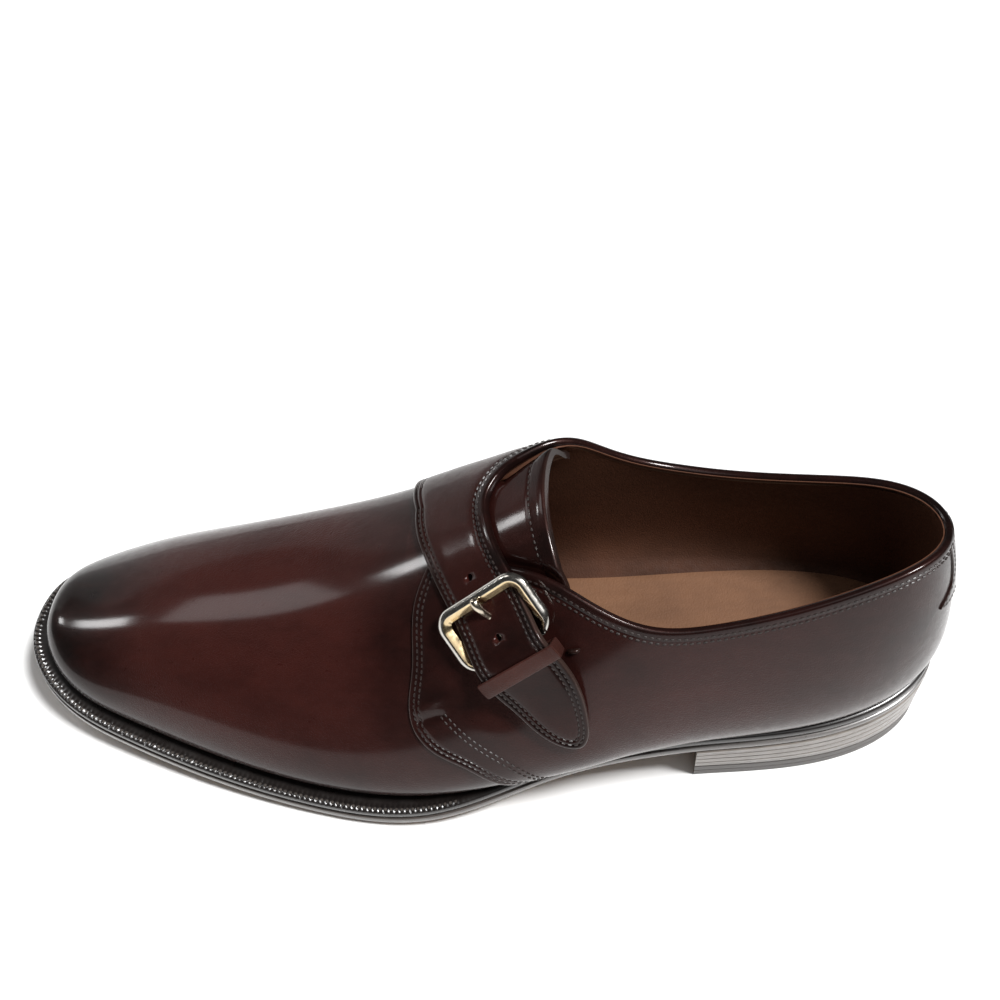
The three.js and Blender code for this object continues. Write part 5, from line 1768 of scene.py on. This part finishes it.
def make_sock():
    """Sock: the leather plate underfoot, inside the feather edge."""
    sock_rim = [(0.5, 0), (0.15, 0.12), (0, 0.5), (0, 2.0), (0.3, 2.8)]
    plate(
        "sock", finish("sock"), "lining_leather", ["insole"], sock_rim,
        lambda x: seat_height(x) + 3.3, lambda x, r: seat_height(x) + 0.5,
        lambda s, side: np.full(len(s), -2.3),
    )


def make_outsole():
    """Outsole: the plate under the welt, its edge rounded and its underside bare."""
    rim = [(0.55, 0), (0.12, 0.25), (0, 0.8), (0, 1.8), (0.15, 2.5), (0.6, 3.05), (1.1, 3.2)]
    piece = plate(
        "outsole_leather", finish("edge"), "sole_leather", ["outsole"], rim, outsole_top,
        outsole_bottom, margin_at,
    )
    paint_tread(piece)


def paint_tread(piece):
    """Gives the faces that look down the tread's finish."""
    mesh = piece.data
    mesh.materials.append(finish("tread"))
    normals = np.empty(len(mesh.polygons) * 3)
    mesh.polygons.foreach_get("normal", normals)
    down = normals.reshape(-1, 3)[:, 2] < -0.8
    mesh.polygons.foreach_set("material_index", down.astype(np.int32))


def heel_ring(inset, count=150):
    """Closed plan outline of the heel: round the back, then straight across the breast
    with a slight inward curve."""
    start = FAN_STATION + HEEL_BREAST_X - FAN_START_X
    s = np.linspace(start, LAST_STATION, count)
    lateral, medial = (
        outline(s, np.full(count, side), MARGIN[int(side)](s) - inset) for side in (-1.0, 1.0)
    )
    share = np.linspace(0, 1, 32)[1:-1]
    breast = mix(medial[:1], lateral[:1], share[:, None])
    breast[:, 0] += 1.6 * 4 * share * (1 - share)
    return np.concatenate([lateral, medial[::-1][1:], breast])


def heel_block(name, material, replaced, top, bottom, rows, taper0, taper1):
    """Block under the heel: the outline carried down from top to bottom, narrowing, with
    rows of (share, inset) for its joints and edges."""
    rings = []
    for share, inset in rows:
        plan = heel_ring(mix(taper0, taper1, share) + inset)
        z = mix(top(plan[:, 0]), bottom(plan[:, 0]), share)
        rings.append(np.concatenate([plan, z[:, None]], -1))
    rings = np.stack(rings)
    shell = Shell()
    shell.sweep(rings, burnish=0.3)
    shell.finish(name, material, "sole_leather" if "stack" in name else "heel_rubber", replaced)


def make_heel():
    """Heel: four leather lifts with sunken joints, and the rubber top piece."""
    rows = [(0.0, 0.35), (0.03, 0.0)]
    for joint in (0.25, 0.5, 0.75):
        rows += [(joint - 0.022, 0.0), (joint, 0.28), (joint + 0.022, 0.0)]
    rows += [(0.97, 0.0), (1.0, 0.3)]
    low = TOP_PIECE_THICKNESS + 0.3
    heel_block(
        "heel_stack_lifts", finish("stack"), ["heel_stack"],
        lambda x: outsole_bottom(x, 1) - 0.1, lambda x: low + 0 * x, rows, 0.0, HEEL_TAPER * 0.75,
    )
    rows = [(0.0, 0.3), (0.05, 0.0), (0.46, 0.0), (0.5, 0.22), (0.54, 0.0), (0.93, 0.0), (1.0, 0.5)]
    heel_block(
        "heel_top_rubber", finish("rubber"), ["heel_top_piece"],
        lambda x: TOP_PIECE_THICKNESS + 0 * x, lambda x: 0 * x, rows, HEEL_TAPER * 0.75, HEEL_TAPER,
    )


# ------------------------------------------------------------------ stage


def hang_light(data, azimuth, elevation, distance):
    """Hangs a light at two angles and a distance from the origin, turned towards it."""
    lamp = bpy.data.objects.new(data.name, data)
    a, e = math.radians(azimuth), math.radians(elevation)
    z = np.array([math.cos(a) * math.cos(e), math.sin(a) * math.cos(e), math.sin(e)])
    x = unit(np.cross([0.0, 0.0, 1.0], z))
    lamp.matrix_world = look_matrix(x, np.cross(z, x), z, z * distance)
    bpy.context.scene.collection.objects.link(lamp)


def make_stage():
    """Pale floor, soft lights and the camera."""
    stage = bpy.context.scene.shoe_stage
    scene = bpy.context.scene
    material, tree, shader, place = new_material("pale_floor", Roughness=0.65)
    tint = blend_colours(
        tree, span(tree, noise(tree, place, 3.0), 0.3, 0.7, 0.0, 0.04),
        opaque(stage.floor_colour), (0.7, 0.7, 0.7, 1.0),
    )
    tree.links.new(tint, shader.inputs["Base Color"])
    mesh = bpy.data.meshes.new("floor")
    size = 6.0
    mesh.from_pydata(
        [(-size, -size, 0), (size, -size, 0), (size, size, 0), (-size, size, 0)], [], [(0, 1, 2, 3)]
    )
    mesh.materials.append(material)
    floor = bpy.data.objects.new("floor", mesh)
    scene.collection.objects.link(floor)

    world = bpy.data.worlds.new("studio")
    world.use_nodes = True
    background = world.node_tree.nodes["Background"]
    background.inputs["Color"].default_value = (1.0, 1.0, 1.0, 1.0)
    rays = world.node_tree.nodes.new("ShaderNodeLightPath").outputs["Is Camera Ray"]
    strength = span(world.node_tree, rays, 0.0, 1.0, stage.world_strength, 1.0)
    world.node_tree.links.new(strength, background.inputs["Strength"])
    scene.world = world
    scene.view_settings.view_transform = "Standard"

    # name, azimuth and elevation in degrees, distance and width in metres, watts
    lights = [
        ("key_light", 167, 33, 1.5, 0.15, 2.0),
        ("soft_light", 160, 50, 1.4, 0.35, 1.5),
        ("low_light", 138, 12, 1.4, 0.9, 1.1),
        ("fill_light", -62, 62, 1.6, 1.0, 3.0),
    ]
    for name, azimuth, elevation, distance, width, power in lights:
        data = bpy.data.lights.new(name, "AREA")
        data.size, data.energy = width, power
        hang_light(data, azimuth, elevation, distance)
    sun = bpy.data.lights.new("sun_light", "SUN")
    sun.energy, sun.angle = stage.sun_strength, math.radians(14)
    hang_light(sun, -14, 62, 3)

    yaw, pitch, roll = (math.radians(a) for a in (-8.326, 52.949, -5.355))
    ahead = np.array([
        math.sin(yaw) * math.cos(pitch), math.cos(yaw) * math.cos(pitch), -math.sin(pitch)
    ])
    right = unit(np.cross(ahead, [0.0, 0.0, 1.0]))
    up = np.cross(right, ahead)
    x = math.cos(roll) * right + math.sin(roll) * up
    y = -math.sin(roll) * right + math.cos(roll) * up
    data = bpy.data.cameras.new("camera")
    data.lens, data.sensor_width = stage.lens, 36.0
    data.clip_start, data.clip_end = 0.01, 50.0
    camera = bpy.data.objects.new("camera", data)
    camera.matrix_world = look_matrix(x, y, -ahead, (0.05004, -0.24378, 0.42720))
    scene.collection.objects.link(camera)
    scene.camera = camera


def look_matrix(x, y, z, place):
    """Matrix from three axes and a place."""
    matrix = np.eye(4)
    matrix[:3, 0], matrix[:3, 1], matrix[:3, 2], matrix[:3, 3] = x, y, z, place
    return Matrix(matrix.tolist())


# ------------------------------------------------------------------ operators and panel


class StageOperator(bpy.types.Operator):
    """Makes the floor, the lights and the camera."""

    bl_idname = "shoe.stage"
    bl_label = "Stage"

    def execute(self, context):
        make_stage()
        return {"FINISHED"}


class VampOperator(bpy.types.Operator):
    """Makes the vamp."""

    bl_idname = "shoe.vamp"
    bl_label = "Vamp"

    def execute(self, context):
        make_vamp()
        return {"FINISHED"}


class QuartersOperator(bpy.types.Operator):
    """Makes the lateral quarter, and the medial one with the strap."""

    bl_idname = "shoe.quarters"
    bl_label = "Quarters and strap"

    def execute(self, context):
        make_lateral_quarter()
        make_medial_quarter_and_strap()
        return {"FINISHED"}


class TongueOperator(bpy.types.Operator):
    """Makes the tongue and its row of sewing."""

    bl_idname = "shoe.tongue"
    bl_label = "Tongue"

    def execute(self, context):
        make_tongue()
        return {"FINISHED"}


class LiningOperator(bpy.types.Operator):
    """Makes the lining."""

    bl_idname = "shoe.lining"
    bl_label = "Lining"

    def execute(self, context):
        make_lining()
        return {"FINISHED"}


class RimOperator(bpy.types.Operator):
    """Makes the bound rim of the collar and its sewing."""

    bl_idname = "shoe.rim"
    bl_label = "Collar rim"

    def execute(self, context):
        make_topline()
        return {"FINISHED"}


class BackStripOperator(bpy.types.Operator):
    """Makes the strip down the heel seam and its sewing."""

    bl_idname = "shoe.back_strip"
    bl_label = "Back strip"

    def execute(self, context):
        make_back_strip()
        return {"FINISHED"}


class SewingOperator(bpy.types.Operator):
    """Sews the quarters and the strap."""

    bl_idname = "shoe.sewing"
    bl_label = "Upper sewing"

    def execute(self, context):
        make_upper_sewing()
        return {"FINISHED"}


class BuckleFrameOperator(bpy.types.Operator):
    """Makes the buckle's frame with its pivot bar."""

    bl_idname = "shoe.buckle_frame"
    bl_label = "Buckle frame"

    def execute(self, context):
        make_buckle_frame()
        return {"FINISHED"}


class ProngOperator(bpy.types.Operator):
    """Makes the prong."""

    bl_idname = "shoe.prong"
    bl_label = "Prong"

    def execute(self, context):
        make_prong()
        return {"FINISHED"}


class ChapeOperator(bpy.types.Operator):
    """Makes the tab that holds the buckle."""

    bl_idname = "shoe.chape"
    bl_label = "Chape"

    def execute(self, context):
        make_chape()
        return {"FINISHED"}


class KeeperOperator(bpy.types.Operator):
    """Makes the keeper loop and its tucked end."""

    bl_idname = "shoe.keeper"
    bl_label = "Keeper"

    def execute(self, context):
        make_keeper()
        return {"FINISHED"}


class WeltOperator(bpy.types.Operator):
    """Makes the wheeled welt and its sewing."""

    bl_idname = "shoe.welt"
    bl_label = "Welt"

    def execute(self, context):
        make_welt()
        return {"FINISHED"}


class SockOperator(bpy.types.Operator):
    """Makes the sock."""

    bl_idname = "shoe.sock"
    bl_label = "Sock"

    def execute(self, context):
        make_sock()
        return {"FINISHED"}


class OutsoleOperator(bpy.types.Operator):
    """Makes the outsole."""

    bl_idname = "shoe.outsole"
    bl_label = "Outsole"

    def execute(self, context):
        make_outsole()
        return {"FINISHED"}


class HeelOperator(bpy.types.Operator):
    """Makes the stacked heel and its top piece."""

    bl_idname = "shoe.heel"
    bl_label = "Heel"

    def execute(self, context):
        make_heel()
        return {"FINISHED"}


class ShoePanel(bpy.types.Panel):
    """Lists the shoe's settings and its builders."""

    bl_idname = "VIEW3D_PT_shoe"
    bl_label = "Monk strap shoe"
    bl_space_type = "VIEW_3D"
    bl_region_type = "UI"
    bl_category = "Shoe"

    def draw(self, context):
        for group in SETTINGS:
            settings = getattr(context.scene, group)
            box = self.layout.box()
            for prop in settings.bl_rna.properties:
                if prop.identifier not in ("rna_type", "name"):
                    box.prop(settings, prop.identifier)
        for operator in OPERATORS:
            self.layout.operator(operator.bl_idname)


SETTINGS = {
    "shoe_leather": ShoeLeather,
    "shoe_metal": ShoeMetal,
    "shoe_bottom": ShoeBottom,
    "shoe_sewing": ShoeSewing,
    "shoe_stage": ShoeStage,
}
OPERATORS = [
    StageOperator, VampOperator, QuartersOperator, TongueOperator, LiningOperator, RimOperator,
    BackStripOperator, SewingOperator, BuckleFrameOperator, ProngOperator, ChapeOperator,
    KeeperOperator, WeltOperator, SockOperator, OutsoleOperator, HeelOperator,
]


def register():
    """Registers the settings, the builders and the panel."""
    for kind in [*SETTINGS.values(), *OPERATORS, ShoePanel]:
        bpy.utils.register_class(kind)
    for name, kind in SETTINGS.items():
        setattr(bpy.types.Scene, name, bpy.props.PointerProperty(type=kind))


def unregister():
    """Takes them back in the opposite order."""
    for name in SETTINGS:
        delattr(bpy.types.Scene, name)
    for kind in reversed([*SETTINGS.values(), *OPERATORS, ShoePanel]):
        bpy.utils.unregister_class(kind)


def main():
    """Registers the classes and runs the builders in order."""
    register()
    bpy.ops.shoe.stage()
    bpy.ops.shoe.vamp()
    bpy.ops.shoe.quarters()
    bpy.ops.shoe.tongue()
    bpy.ops.shoe.lining()
    bpy.ops.shoe.rim()
    bpy.ops.shoe.back_strip()
    bpy.ops.shoe.sewing()
    bpy.ops.shoe.buckle_frame()
    bpy.ops.shoe.prong()
    bpy.ops.shoe.chape()
    bpy.ops.shoe.keeper()
    bpy.ops.shoe.welt()
    bpy.ops.shoe.sock()
    bpy.ops.shoe.outsole()
    bpy.ops.shoe.heel()


if __name__ == "__main__":
    main()
